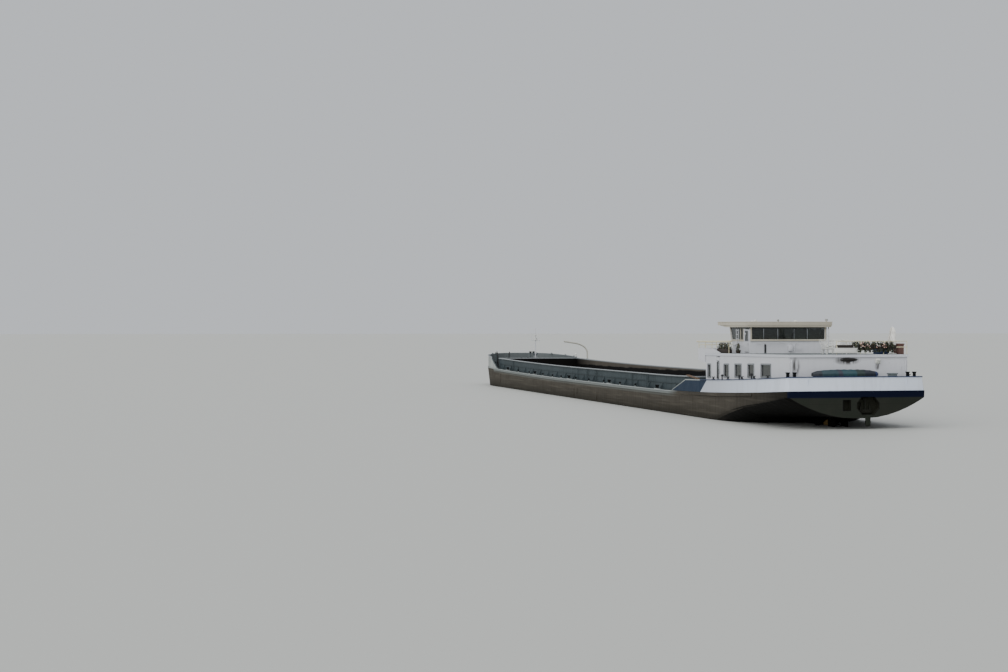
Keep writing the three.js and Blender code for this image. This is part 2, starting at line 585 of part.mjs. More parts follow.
// The balcony's sides run aft along the boat deck's edges as parapets, which step down to the deck
const BALCONY = { floorAft: 4.82, floorFore: 4.92, floorThick: 0.08, top: 5.76, wall: 0.08 };
const PARAPET = { full: 14.5, aftEnd: 13.1 };
const balconyAft = ROOF.fore + SEAT;
const balconySide = [
  [balconyAft, BALCONY.floorAft], [BALCONY_FORE, BALCONY.floorFore],
  [BALCONY_FORE, BALCONY.top], [PARAPET.full, BALCONY.top],
  [PARAPET.aftEnd, onBoatDeck(PARAPET.aftEnd) + 0.05], [PARAPET.aftEnd, onBoatDeck(PARAPET.aftEnd)],
  [balconyAft, onBoatDeck(balconyAft)],
];
add('forward_balcony', join(
  sidePlate([
    [balconyAft, BALCONY.floorAft], [BALCONY_FORE, BALCONY.floorFore],
    [BALCONY_FORE, BALCONY.floorFore + BALCONY.floorThick], [balconyAft, BALCONY.floorAft + BALCONY.floorThick],
  ], -ROOF.halfWidth, ROOF.halfWidth),
  sidePlate(balconySide, ROOF.halfWidth - BALCONY.wall, ROOF.halfWidth),
  sidePlate(balconySide, -ROOF.halfWidth, BALCONY.wall - ROOF.halfWidth),
  block(BALCONY_FORE - BALCONY.wall, BALCONY_FORE, -ROOF.halfWidth, ROOF.halfWidth,
    BALCONY.floorFore, BALCONY.top),
  block(balconyAft, balconyAft + 0.06, -ROOF.halfWidth, ROOF.halfWidth, BALCONY.floorAft, BOAT_DECK_TOP),
), HOUSE_WHITE);

// Rails: posts with a top rail and a middle rail, along a line of [s, y] points
const RAIL = { post: 0.025, bar: 0.022, height: 0.8 };
function railing(line, foot, height, pitch = 1.4) {
  const pieces = [];
  for (let i = 0; i < line.length - 1; i += 1) {
    const [a, b] = [line[i], line[i + 1]];
    const steps = Math.max(1, Math.round(Math.hypot(b[0] - a[0], b[1] - a[1]) / pitch));
    for (const up of [height, height * 0.55]) {
      pieces.push(bar([...a, foot(a[0]) + up], [...b, foot(b[0]) + up], RAIL.bar, 6));
    }
    for (let k = i === 0 ? 0 : 1; k <= steps; k += 1) {
      const s = a[0] + ((b[0] - a[0]) * k) / steps;
      const y = a[1] + ((b[1] - a[1]) * k) / steps;
      pieces.push(post(s, y, foot(s), foot(s) + height + RAIL.bar, RAIL.post, 6));
    }
  }
  return join(...pieces);
}
const edge = ROOF.halfWidth - 0.08;
const railY = ROOF.halfWidth - BALCONY.wall / 2;
const railFore = BALCONY_FORE - BALCONY.wall / 2;
// A planter hangs on the aft rail, and a locker stands against the starboard rail
add('boat_deck_rail', join(
  railing([[1.5, 0.8], [1.5, -edge], [12.9, -edge]], onBoatDeck, RAIL.height),
  block(1.49, 1.75, -3.1, 0.75, 5.85, 6.12),
  block(1.9, 2.5, -edge - 0.01, -edge + 0.35, onBoatDeck(1.9), 6.15),
), HOUSE_WHITE);
add('balcony_rail', railing(
  [[PARAPET.full + 0.1, railY], [railFore, railY], [railFore, -railY], [PARAPET.full + 0.1, -railY]],
  () => BALCONY.top + SEAT, 0.42), HOUSE_WHITE);

const PANE = { thick: 0.03 };

// Wheelhouse walls: a low steel part, posts and a window band. The front leans forward from its foot
const CABIN_DOOR = { aft: 10.78, fore: 11.58, sill: 5.53, head: 7.1 };
const PILLAR = 0.09;
const CABIN_FOOT = onBoatDeck(CABIN_FORE);
const cabinFront = (z) => CABIN_FORE + CABIN_RAKE * (z - CABIN_FOOT);
const cabinOutline = [
  [CABIN_AFT, onBoatDeck(CABIN_AFT)], [CABIN_FORE, CABIN_FOOT],
  [cabinFront(CABIN_HEAD), CABIN_HEAD], [CABIN_AFT, CABIN_HEAD],
];
const cabinPane = [
  [11.72, CABIN_SILL], [cabinFront(CABIN_SILL) - PILLAR, CABIN_SILL],
  [cabinFront(7.1) - PILLAR, 7.1], [11.72, 7.1],
];
const cabinHoles = [rectangle(CABIN_DOOR.aft, CABIN_DOOR.fore, CABIN_DOOR.sill, CABIN_DOOR.head), cabinPane];
add('wheelhouse_wall_port', sidePlate(cabinOutline, CABIN_HALF_WIDTH - CABIN_WALL, CABIN_HALF_WIDTH, cabinHoles),
  HOUSE_WHITE);
add('wheelhouse_wall_starboard', sidePlate(cabinOutline, -CABIN_HALF_WIDTH, CABIN_WALL - CABIN_HALF_WIDTH,
  cabinHoles), HOUSE_WHITE);

const cabinInside = CABIN_HALF_WIDTH - CABIN_WALL - SEAT;
const rakeAngle = Math.atan(CABIN_RAKE);
const upSlope = (z) => (z - CABIN_FOOT) / Math.cos(rakeAngle);
const rakedTop = upSlope(CABIN_HEAD - CABIN_WALL * Math.sin(rakeAngle));
// Leans a cross plate, drawn upright from z = 0, forward from its foot
function raked(points, sLow, sHigh, holes = []) {
  const plate = crossPlate(points, sLow, sHigh, holes);
  plate.translate(-X(0), 0, 0).rotateY(rakeAngle);
  return plate.translate(X(CABIN_FORE), 0, CABIN_FOOT);
}
const BAND = { half: 2.56, aftHead: 7.1, foreLow: upSlope(CABIN_SILL), foreHigh: rakedTop - 0.1 };
const aftBand = rectangle(-BAND.half, BAND.half, CABIN_SILL, BAND.aftHead);
const foreBand = rectangle(-BAND.half, BAND.half, BAND.foreLow, BAND.foreHigh);
add('wheelhouse_wall_aft', crossPlate(rectangle(-cabinInside, cabinInside, onBoatDeck(CABIN_AFT), CABIN_HEAD),
  CABIN_AFT, CABIN_AFT + CABIN_WALL, [aftBand]), HOUSE_WHITE);
add('wheelhouse_wall_fore', raked(
  rectangle(-cabinInside, cabinInside, 0, rakedTop), -CABIN_WALL, -SEAT, [foreBand]), HOUSE_WHITE);

// Window bands: panes with the mullions between them, let into the walls
const MULLION = 0.07;
const AFT_MULLIONS = [1.74, 0.75, -0.4, -1.33];
const FRONT_MULLIONS = [0.9, -0.9];
const shrunk = (y0, y1, z0, z1) => rectangle(y0 + SEAT, y1 - SEAT, z0 + SEAT, z1 - SEAT);
const aftInner = CABIN_AFT + 0.02;
add('wheelhouse_window_aft', join(
  crossPlate(shrunk(-BAND.half, BAND.half, CABIN_SILL, BAND.aftHead), aftInner, aftInner + PANE.thick),
  ...AFT_MULLIONS.map((y) => crossPlate(
    shrunk(y - MULLION / 2, y + MULLION / 2, CABIN_SILL, BAND.aftHead), CABIN_AFT + 0.005, CABIN_AFT + 0.07)),
), GLASS);
add('wheelhouse_window_fore', join(
  raked(shrunk(-BAND.half, BAND.half, BAND.foreLow, BAND.foreHigh), 0.02 - CABIN_WALL, -0.03),
  ...FRONT_MULLIONS.map((y) => raked(
    shrunk(y - MULLION / 2, y + MULLION / 2, BAND.foreLow, BAND.foreHigh), 0.005 - CABIN_WALL, -0.01)),
), GLASS);
const [sillAft, sillFore, headFore, headAft] = cabinPane;
const sidePaneOutline = [
  [sillAft[0] + SEAT, sillAft[1] + SEAT], [sillFore[0] - 2 * SEAT, sillFore[1] + SEAT],
  [headFore[0] - 2 * SEAT, headFore[1] - SEAT], [headAft[0] + SEAT, headAft[1] - SEAT],
];
const paneFaces = [CABIN_HALF_WIDTH - 0.03 - PANE.thick, CABIN_HALF_WIDTH - 0.03];
add('wheelhouse_window_port', sidePlate(sidePaneOutline, paneFaces[0], paneFaces[1]), GLASS);
add('wheelhouse_window_starboard', sidePlate(sidePaneOutline, -paneFaces[1], -paneFaces[0]), GLASS);

for (const [name, side] of [['port', 1], ['starboard', -1]]) {
  add(`wheelhouse_door_${name}`, doorLeaf(CABIN_DOOR, CABIN_HALF_WIDTH, side,
    rectangle(10.92, 11.44, 6.3, 6.95)), HOUSE_WHITE);
}

// Wheelhouse roof: overhangs well forward, thinner at its edges, with two lamps on top
const CABIN_ROOF = { aft: 10.4, fore: 15.85, halfWidth: 2.92, low: CABIN_HEAD + SEAT, high: 7.5 };
const LAMPS = [
  // s, y, height, radius
  [10.7, -2.7, 0.24, 0.09],
  [11.0, 0.6, 0.2, 0.07],
];
add('wheelhouse_roof', join(
  sidePlate([
    [CABIN_ROOF.aft, CABIN_ROOF.low], [14.5, CABIN_ROOF.low], [CABIN_ROOF.fore, CABIN_ROOF.low + 0.14],
    [CABIN_ROOF.fore, CABIN_ROOF.high - 0.04], [CABIN_ROOF.fore - 0.2, CABIN_ROOF.high],
    [CABIN_ROOF.aft + 0.15, CABIN_ROOF.high], [CABIN_ROOF.aft, CABIN_ROOF.high - 0.08],
  ], -CABIN_ROOF.halfWidth, CABIN_ROOF.halfWidth),
  ...LAMPS.flatMap(([s, y, height, radius]) => [
    post(s, y, CABIN_ROOF.high - 0.05, CABIN_ROOF.high + height, radius / 2, 8),
    post(s, y, CABIN_ROOF.high + height / 2, CABIN_ROOF.high + height, radius, 12),
  ]),
), ROOF_CREAM);

// Inside the wheelhouse: a steering console and the helm chair
add('steering_console', sidePlate([
  [12.5, onBoatDeck(12.5)], [13.2, onBoatDeck(13.2)], [13.2, 6.15], [12.95, 6.25], [12.5, 6.05],
], -1.3, 1.3), STEEL);
add('helm_chair', join(
  post(11.9, 0, onBoatDeck(11.9) + 0.02, 5.85, 0.06), post(11.9, 0, onBoatDeck(11.6), onBoatDeck(11.6) + 0.05, 0.25, 12),
  block(11.65, 12.15, -0.27, 0.27, 5.8, 5.92), block(11.62, 11.74, -0.25, 0.25, 5.9, 6.6),
), LEATHER);

// Under the stern: skeg with the shaft, nozzle, propeller and two rudders
const keelLine = (s) => {
  const i = AFT_STATIONS.findIndex((station) => station[0] >= s);
  const [a, b] = [AFT_STATIONS[i - 1], AFT_STATIONS[i]];
  return a[3] + ((b[3] - a[3]) * (s - a[0])) / (b[0] - a[0]);
};
const SKEG = { aft: 4.95, fore: 11.0, halfWidth: 0.14 };
add('shaft_skeg', sidePlate([
  [SKEG.aft, SHAFT_HEIGHT - 0.18], [SKEG.fore, keelLine(SKEG.fore) - 0.06],
  [SKEG.fore, keelLine(SKEG.fore) - SEAT], [9, keelLine(9) - SEAT], [6, keelLine(6) - SEAT],
  [SKEG.aft, keelLine(SKEG.aft) - SEAT],
], -SKEG.halfWidth, SKEG.halfWidth), HULL_GREY);

const NOZZLE = { aft: 4.25, fore: 4.93, inner: PROPELLER_RADIUS + 0.06, outer: PROPELLER_RADIUS + 0.12 };
// Lathe profile as [radius, distance along the shaft]
const nozzleProfile = [
  [NOZZLE.inner, 0.1], [NOZZLE.inner, 0.5], [NOZZLE.inner + 0.03, 0.68], [NOZZLE.outer, 0.6],
  [NOZZLE.outer - 0.02, 0], [NOZZLE.inner + 0.02, 0], [NOZZLE.inner, 0.1],
].map(([r, along]) => new THREE.Vector2(r, along));
const nozzleRing = new THREE.LatheGeometry(nozzleProfile, 28).rotateZ(-Math.PI / 2)
  .translate(X(NOZZLE.aft), 0, SHAFT_HEIGHT);
const headBoxFore = NOZZLE.fore - 0.1;
const headBoxTop = keelLine(headBoxFore) - SEAT;
add('propeller_nozzle', join(
  outward(clean(nozzleRing)),
  block(NOZZLE.aft + 0.1, headBoxFore, -0.16, 0.16, SHAFT_HEIGHT + NOZZLE.outer - 0.045, headBoxTop),
), HULL_GREY);

// Propeller: hub on the shaft's end and four pitched blades
const BLADES = 4;
const blades = [];
for (let i = 0; i < BLADES; i += 1) {
  const blade = slab([[-0.1, 0.08], [0.1, 0.08], [0.24, 0.45], [0.12, PROPELLER_RADIUS - 0.02],
    [-0.12, PROPELLER_RADIUS - 0.02], [-0.2, 0.45]], 0.04);
  blade.translate(0, 0, -0.02).rotateX(Math.PI / 2);
  blade.applyMatrix4(new THREE.Matrix4().makeRotationZ(THREE.MathUtils.degToRad(55)));
  blade.rotateX((i / BLADES) * 2 * Math.PI);
  blades.push(blade.translate(X(PROPELLER_S), 0, SHAFT_HEIGHT));
}
add('propeller', join(
  bar([PROPELLER_S - 0.2, 0, SHAFT_HEIGHT], [SKEG.aft - SEAT, 0, SHAFT_HEIGHT], 0.13, 16),
  bar([PROPELLER_S - 0.34, 0, SHAFT_HEIGHT], [PROPELLER_S - 0.19, 0, SHAFT_HEIGHT], 0.07, 12),
  ...blades,
), BRONZE);

const RUDDER = { stock: 3.3, stockRadius: 0.07, y: 0.42, fore: 3.55, aft: 2.5, low: 0.15, high: 1.5, halfThick: 0.05 };
const stockTop = keelLine(RUDDER.stock + RUDDER.stockRadius) - SEAT;
for (const [name, side] of [['port', 1], ['starboard', -1]]) {
  const y = side * RUDDER.y;
  const blade = flatPlate([
    [RUDDER.aft, y - 0.01], [RUDDER.stock, y - RUDDER.halfThick], [RUDDER.fore, y - 0.02],
    [RUDDER.fore, y + 0.02], [RUDDER.stock, y + RUDDER.halfThick], [RUDDER.aft, y + 0.01],
  ], RUDDER.low, RUDDER.high);
  add(`rudder_${name}`, join(blade, post(RUDDER.stock, y, RUDDER.high - 0.1, stockTop, RUDDER.stockRadius, 12)), HULL_GREY);
}

// An anchor: shank with a ring head, crown and two flukes, drawn upright around its own middle
function anchor(height, width) {
  const [h, w] = [height / 2, width / 2];
  return join(
    crossPlate([[-0.05, -h], [0.05, -h], [0.05, h], [-0.05, h]], -0.05, 0.05),
    crossPlate([[-w * 0.8, -h], [w * 0.8, -h], [w * 0.5, -h + 0.2], [-w * 0.5, -h + 0.2]], -0.08, 0.08),
    crossPlate([[-w, -h + 0.02], [-w * 0.55, -h + 0.02], [-w * 0.6, h * 0.45]], -0.06, 0.06),
    crossPlate([[w * 0.55, -h + 0.02], [w, -h + 0.02], [w * 0.6, h * 0.45]], -0.06, 0.06),
    crossPlate([[-0.14, h - 0.12], [0.14, h - 0.12], [0.14, h], [-0.14, h]], -0.045, 0.045),
  ).translate(-X(0), 0, 0);
}
add('stern_anchor', anchor(0.86, 0.84).translate(
  X(ANCHOR_POCKET.depth - 0.08 - SEAT), ANCHOR_POCKET.y, (ANCHOR_POCKET.low + ANCHOR_POCKET.high) / 2), STEEL);
for (const [name, side] of [['port', 1], ['starboard', -1]]) {
  add(`bow_anchor_${name}`, anchor(0.8, 1.1).rotateZ(Math.PI / 2).translate(
    X((BOW_POCKET.s0 + BOW_POCKET.s1) / 2), side * (BOW_POCKET.yIn + 0.08 + SEAT),
    (BOW_POCKET.low + BOW_POCKET.high) / 2), STEEL);
}

// Foredeck: windlass, towing bitts, hatch, mast in its tabernacle
const WINDLASS = { s: 80.9, height: 0.62, drum: 0.32, half: 0.75 };
const windlassFoot = onDeck(WINDLASS.s + 0.45);
const windlassAxle = windlassFoot + WINDLASS.height;
add('windlass_frame', join(
  block(WINDLASS.s - 0.45, WINDLASS.s + 0.45, -1.0, 1.0, windlassFoot, windlassFoot + 0.08),
  ...[-1, 1].map((side) => crossPlate(
    [[side * 0.82, windlassFoot + 0.04], [side * 0.94, windlassFoot + 0.04],
      [side * 0.94, windlassAxle + 0.2], [side * 0.82, windlassAxle + 0.2]],
    WINDLASS.s - 0.18, WINDLASS.s + 0.18)),
), COAMING_BLUE);
add('windlass_drum', join(
  bar([WINDLASS.s, -0.82 + SEAT, windlassAxle], [WINDLASS.s, 0.82 - SEAT, windlassAxle], 0.08, 12),
  bar([WINDLASS.s, -WINDLASS.half, windlassAxle], [WINDLASS.s, WINDLASS.half, windlassAxle], 0.2, 16),
  ...[-WINDLASS.half, -0.06, WINDLASS.half - 0.12].map((y) => bar(
    [WINDLASS.s, y, windlassAxle], [WINDLASS.s, y + 0.12, windlassAxle], WINDLASS.drum, 20)),
), STEEL);

const BITTS = { s: 79.2, y: 0.17, top: 4.66, radius: 0.09 };
add('towing_bitts', join(
  block(BITTS.s - 0.25, BITTS.s + 0.25, -0.4, 0.4, onDeck(BITTS.s + 0.25), onDeck(BITTS.s + 0.25) + 0.06),
  ...[-1, 1].flatMap((side) => [
    post(BITTS.s, side * BITTS.y, onDeck(BITTS.s + 0.25), BITTS.top, BITTS.radius, 12),
    post(BITTS.s, side * BITTS.y, BITTS.top - 0.14, BITTS.top, BITTS.radius + 0.04, 12),
  ]),
  block(BITTS.s - 0.05, BITTS.s + 0.05, -0.34, 0.34, 3.6, 3.72),
), BLACK_PAINT);

add('fore_hatch_lid', join(
  block(HATCH.s0 - 0.03, HATCH.s1 + 0.03, -HATCH.half - 0.03, HATCH.half + 0.03,
    hatchTop + SEAT, hatchTop + SEAT + HATCH.lid),
  bar([HATCH.s0 - 0.04, -0.3, hatchTop + 0.04], [HATCH.s0 - 0.04, 0.3, hatchTop + 0.04], 0.03, 8),
), COAMING_BLUE);

const MAST = { s: 77.7, pivot: 4.45, top: 6.6, radius: 0.055, cheek: 0.13 };
add('mast_tabernacle', join(
  block(MAST.s - 0.2, MAST.s + 0.2, -0.3, 0.3, onDeck(MAST.s + 0.2), onDeck(MAST.s + 0.2) + 0.05),
  ...[-1, 1].map((side) => block(
    MAST.s - 0.11, MAST.s + 0.11, side * (MAST.cheek + 0.025) - 0.025, side * (MAST.cheek + 0.025) + 0.025,
    onDeck(MAST.s + 0.2), MAST.pivot + 0.1)),
), COAMING_BLUE);
add('foremast', join(
  post(MAST.s, 0, MAST.pivot - 0.5, MAST.top, MAST.radius, 10),
  bar([MAST.s, -MAST.cheek + SEAT, MAST.pivot], [MAST.s, MAST.cheek - SEAT, MAST.pivot], 0.03, 8),
  bar([MAST.s, -0.45, 5.85], [MAST.s, 0.45, 5.85], 0.025, 8),
  post(MAST.s - 0.13, 0, 5.95, 6.15, 0.1, 12), block(MAST.s - 0.16, MAST.s, -0.03, 0.03, 5.98, 6.02),
), HOUSE_WHITE);

const davitPath = new THREE.CurvePath();
const davitStart = new THREE.Vector3(X(DAVIT.s), DAVIT.y, davitFoot + DAVIT.socket + 0.04 + SEAT);
const davitElbow = new THREE.Vector3(X(DAVIT.s), DAVIT.y, DAVIT.top - DAVIT.bend);
const davitBend = new THREE.Vector3(X(DAVIT.s), DAVIT.y + 1.35, DAVIT.top - 0.17);
const davitEnd = new THREE.Vector3(X(DAVIT.s), DAVIT.y + DAVIT.reach, DAVIT.top);
davitPath.add(new THREE.LineCurve3(davitStart, davitElbow));
davitPath.add(new THREE.CubicBezierCurve3(davitElbow, new THREE.Vector3(X(DAVIT.s), DAVIT.y, DAVIT.top - 0.6),
  new THREE.Vector3(X(DAVIT.s), DAVIT.y + 0.7, DAVIT.top - 0.27), davitBend));
davitPath.add(new THREE.LineCurve3(davitBend, davitEnd));
const round = new THREE.Shape().absarc(0, 0, DAVIT.radius, 0, 2 * Math.PI);
add('davit', new THREE.ExtrudeGeometry(round, {
  steps: 30, curveSegments: 5, bevelEnabled: false, extrudePath: davitPath,
}), COAMING_BLUE);

// Aft deck: covered tender across the stern on two chocks
const TENDER = { s: 0.97, y: 0.5, halfLength: 2.1, low: 3.98, gunwale: 4.42, top: 4.68 };
const tenderFullness = (k) => Math.sqrt(Math.max(0.02, 1 - Math.abs(k) ** 3));
const tenderDepth = (k) => (TENDER.gunwale - TENDER.low) * (0.35 + 0.65 * tenderFullness(k));
const tenderBottom = (k) => TENDER.gunwale - tenderDepth(k);
function tenderRing(k) {
  const [full, deep] = [tenderFullness(k), tenderDepth(k)];
  const half = 0.42 * full;
  const at = (ds, z) => [X(TENDER.s + ds), TENDER.y + k * TENDER.halfLength, z];
  return [
    at(-half * 0.45, TENDER.gunwale - deep), at(-half, TENDER.gunwale - deep * 0.35), at(-half, TENDER.gunwale),
    at(-half * 0.5, TENDER.gunwale + 0.2 * full), at(half * 0.5, TENDER.gunwale + 0.2 * full),
    at(half, TENDER.gunwale), at(half, TENDER.gunwale - deep * 0.35), at(half * 0.45, TENDER.gunwale - deep),
  ];
}
add('tender', loft([-1, -0.85, -0.5, 0, 0.5, 0.85, 1].map(tenderRing)), TEAL);
const chockAlong = TENDER.halfLength / 2;
const cradleFoot = onDeck(TENDER.s - 0.3);
const chockTop = tenderBottom(0.5) - 0.005;
add('tender_cradle', join(
  ...[-chockAlong, chockAlong].map((along) => block(TENDER.s - 0.3, TENDER.s + 0.3, TENDER.y + along - 0.06,
    TENDER.y + along + 0.06, cradleFoot, chockTop)),
  ...[-0.24, 0.16].map((ds) => block(TENDER.s + ds, TENDER.s + ds + 0.08, TENDER.y - chockAlong,
    TENDER.y + chockAlong, cradleFoot + 0.2, cradleFoot + 0.3)),
), HULL_GREY);

// On the boat deck: a furled parasol and a table
const PARASOL = { s: 2.1, y: -3.15 };
add('parasol', join(
  post(PARASOL.s, PARASOL.y, onBoatDeck(PARASOL.s - 0.25), onBoatDeck(PARASOL.s - 0.25) + 0.08, 0.25, 12),
  post(PARASOL.s, PARASOL.y, onBoatDeck(PARASOL.s), 7.28, 0.03, 8),
  new THREE.CylinderGeometry(0.06, 0.2, 1.35, 10).rotateX(Math.PI / 2)
    .translate(X(PARASOL.s), PARASOL.y, 6.5),
), FABRIC_WHITE);
const tableLegs = [[3.1, -0.6], [3.1, 0.7], [3.7, -0.6], [3.7, 0.7]];
add('boat_deck_table', join(
  block(3.0, 3.8, -0.7, 0.8, 5.86, 5.92),
  ...tableLegs.map(([s, y]) => block(s - 0.03, s + 0.03, y - 0.03, y + 0.03, onBoatDeck(s - 0.03), 5.88)),
), FABRIC_WHITE);

const model = new THREE.Group();
model.add(barge);
model.scale.setScalar(1000 / SCALE);
model.updateMatrixWorld(true);
export default model;
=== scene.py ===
# River barge, as a 1:10 model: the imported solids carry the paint, and what the yard and the crew fixed to
# them is modelled here. Lengths of pieces are given in metres of the full-size vessel, s forward of the
# stern, y to port and z above the keel; place() turns them into the model's metres.
import math
import random
from contextlib import contextmanager

import bpy
from mathutils import Matrix, Vector


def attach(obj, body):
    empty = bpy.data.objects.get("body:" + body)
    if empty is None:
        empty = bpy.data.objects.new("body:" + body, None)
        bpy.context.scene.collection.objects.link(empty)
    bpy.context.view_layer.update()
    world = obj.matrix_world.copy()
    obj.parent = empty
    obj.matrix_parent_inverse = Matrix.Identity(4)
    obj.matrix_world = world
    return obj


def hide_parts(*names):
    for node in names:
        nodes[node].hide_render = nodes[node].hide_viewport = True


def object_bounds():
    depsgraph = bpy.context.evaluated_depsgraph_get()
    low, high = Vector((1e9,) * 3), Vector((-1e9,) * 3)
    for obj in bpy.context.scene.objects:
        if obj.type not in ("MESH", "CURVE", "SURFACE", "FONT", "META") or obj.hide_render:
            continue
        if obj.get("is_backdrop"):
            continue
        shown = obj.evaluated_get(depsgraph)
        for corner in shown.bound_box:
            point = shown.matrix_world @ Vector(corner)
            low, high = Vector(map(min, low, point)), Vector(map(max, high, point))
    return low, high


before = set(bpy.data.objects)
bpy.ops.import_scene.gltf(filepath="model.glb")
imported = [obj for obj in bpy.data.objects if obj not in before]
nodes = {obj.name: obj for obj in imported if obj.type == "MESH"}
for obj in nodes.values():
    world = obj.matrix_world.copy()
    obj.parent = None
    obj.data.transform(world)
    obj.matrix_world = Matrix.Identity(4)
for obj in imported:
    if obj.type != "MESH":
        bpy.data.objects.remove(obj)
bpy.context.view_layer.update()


# Viewpoint
# The vessel is seen from the bank, astern and to port, with the eye six metres above the water.
MIDSHIPS = 42.5


def place(s, y, z):
    return Vector(((s - MIDSHIPS) / 10, y / 10, z / 10))


camera = bpy.data.objects.new("bank_view", bpy.data.cameras.new("bank_view"))
bpy.context.scene.collection.objects.link(camera)
camera.data.lens, camera.data.sensor_width = 58.93, 36
camera.data.clip_end = 400
camera.location = (-13.323, 4.320, 0.716)
yaw, pitch = -0.2320, -0.0050
line_of_sight = Vector((math.cos(yaw) * math.cos(pitch), math.sin(yaw) * math.cos(pitch), math.sin(pitch)))
camera.rotation_mode = "QUATERNION"
camera.rotation_quaternion = line_of_sight.to_track_quat("-Z", "Y")
bpy.context.scene.camera = camera


# Floor and light
# A plain pale floor lies at the waterline, open where the hold reaches below it. The light is soft, as under
# a covered sky: an even bright surround and two wide suns, from above and from the bank.
def srgb(code):
    parts = [int(code[i:i + 2], 16) / 255 for i in (1, 3, 5)]
    return (*(c / 12.92 if c <= 0.04045 else ((c + 0.055) / 1.055) ** 2.4 for c in parts), 1.0)


def add(tree, kind, *values, **named):
    """Adds a shader node and gives its first output. Values go to its inputs in order. A name with a capital
    is an input, any other is a setting. A value is a number, a colour or another node's output."""
    made = tree.nodes.new("ShaderNode" + kind)
    for name in [name for name in named if name[0].islower()]:
        setattr(made, name, named.pop(name))
    given = list(zip([socket for socket in made.inputs if socket.enabled], values))
    given += [(made.inputs[name.replace("_", " ")], value) for name, value in named.items()]
    for socket, value in given:
        if isinstance(value, bpy.types.NodeSocket):
            tree.links.new(value, socket)
        else:
            socket.default_value = value
    return next(socket for socket in made.outputs if socket.enabled)


def new_material(name, roughness, **looks):
    """A material with one Principled shader. Gives it, its tree, its shader and the shaded point in metres of
    the vessel. A noise's scale is thus a count to the metre: 20 draws spots about 50 mm wide."""
    made = bpy.data.materials.new(name)
    made.use_nodes = True
    tree = made.node_tree
    shader = tree.nodes["Principled BSDF"]
    for look, value in {"Roughness": roughness, **looks}.items():
        shader.inputs[look.replace("_", " ")].default_value = value
    own_place = add(tree, "TexCoord").node.outputs["Object"]
    where = add(tree, "Mapping", own_place, Location=(MIDSHIPS, 0, 0), Scale=(10, 10, 10))
    return made, tree, shader, where


def only_selected(*chosen):
    bpy.ops.object.select_all(action="DESELECT")
    for piece in chosen:
        piece.select_set(True)
    if chosen:
        bpy.context.view_layer.objects.active = chosen[0]


@contextmanager
def edit_mode():
    """Opens the active piece with its whole mesh selected, and closes it again."""
    bpy.ops.object.mode_set(mode="EDIT")
    bpy.ops.mesh.select_all(action="SELECT")
    yield
    bpy.ops.object.mode_set(mode="OBJECT")


WATERLINE, OPENING_AFT, OPENING_FORE, OPENING_HALF = 0.11, -2.56, 3.41, 0.42
only_selected()
bpy.ops.mesh.primitive_plane_add(size=300, location=(0, 0, WATERLINE))
floor = bpy.context.object
floor.name = "floor"
with edit_mode():
    bpy.ops.mesh.inset(thickness=100, depth=0)
    bpy.ops.mesh.delete(type="FACE")
for vertex in floor.data.vertices:
    if abs(vertex.co.x) < 100:
        vertex.co.x = OPENING_FORE if vertex.co.x > 0 else OPENING_AFT
        vertex.co.y = math.copysign(OPENING_HALF, vertex.co.y)
floor.data.materials.append(new_material("pale_studio_floor", 0.55, Base_Color=srgb("#b4b5b0"))[0])
floor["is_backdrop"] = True

surround = bpy.data.worlds.new("covered_sky")
surround.use_nodes = True
surround.node_tree.nodes["Background"].inputs[0].default_value = srgb("#dfe3e8")
surround.node_tree.nodes["Background"].inputs[1].default_value = 0.85
bpy.context.scene.world = surround
SUNS = (("high_light", 1.5, 90, (0.15, -0.3, -1)), ("bank_light", 1.9, 60, (0.9, -0.9, -0.4)))
for name, energy, wide, toward in SUNS:
    lamp = bpy.data.objects.new(name, bpy.data.lights.new(name, "SUN"))
    lamp.data.energy, lamp.data.angle = energy, math.radians(wide)
    lamp.rotation_mode = "QUATERNION"
    lamp.rotation_quaternion = Vector(toward).to_track_quat("-Z", "Y")
    bpy.context.scene.collection.objects.link(lamp)


# Hull plating
# Welded steel plate 8 to 10 mm thick on close frames. Rolled alkyd paint, gone brown and grey with rubbing at
# quays and locks; plating dished in between the frames, seams every few metres, soot under the stern and
# painted shade under its overhang.
DECK_AMIDSHIPS = 2.7
SHEER = ((45, 85, 0.43), (25, 0, 0.7))


def deck(s):
    """Height of the deck edge: level amidships, rising to both ends."""
    rises = [rise * max(0.0, (s - start) / (end - start)) ** 2 for start, end, rise in SHEER]
    return DECK_AMIDSHIPS + sum(rises)


def below_deck_edge(tree, s, z):
    """How far the shaded point lies below the deck edge, in metres of the vessel."""
    height = DECK_AMIDSHIPS
    for start, end, rise in SHEER:
        share = add(tree, "Math", add(tree, "MapRange", s, start, end), 2.0, operation="POWER")
        height = add(tree, "Math", share, rise, height, operation="MULTIPLY_ADD")
    return add(tree, "Math", height, z, operation="SUBTRACT")


def laid(tree, under, over, *limits, share=1.0):
    """Lays one colour over another by a share, which limits cut down. A limit is a value, where it starts to
    be met and where it is met in full."""
    for value, start, full in limits:
        share = add(tree, "Math", add(tree, "MapRange", value, start, full), share, operation="MULTIPLY")
    under, over = (srgb(tone) if isinstance(tone, str) else tone for tone in (under, over))
    return add(tree, "Mix", share, under, over, data_type="RGBA")


def in_box(tree, spot, centre, half):
    """A share that is 1 inside a box and 0 outside it."""
    share = 1.0
    for value, middle, reach in zip(spot, centre, half):
        share = add(tree, "Math", share, add(tree, "Math", value, middle, reach, operation="COMPARE"),
                    operation="MULTIPLY")
    return share


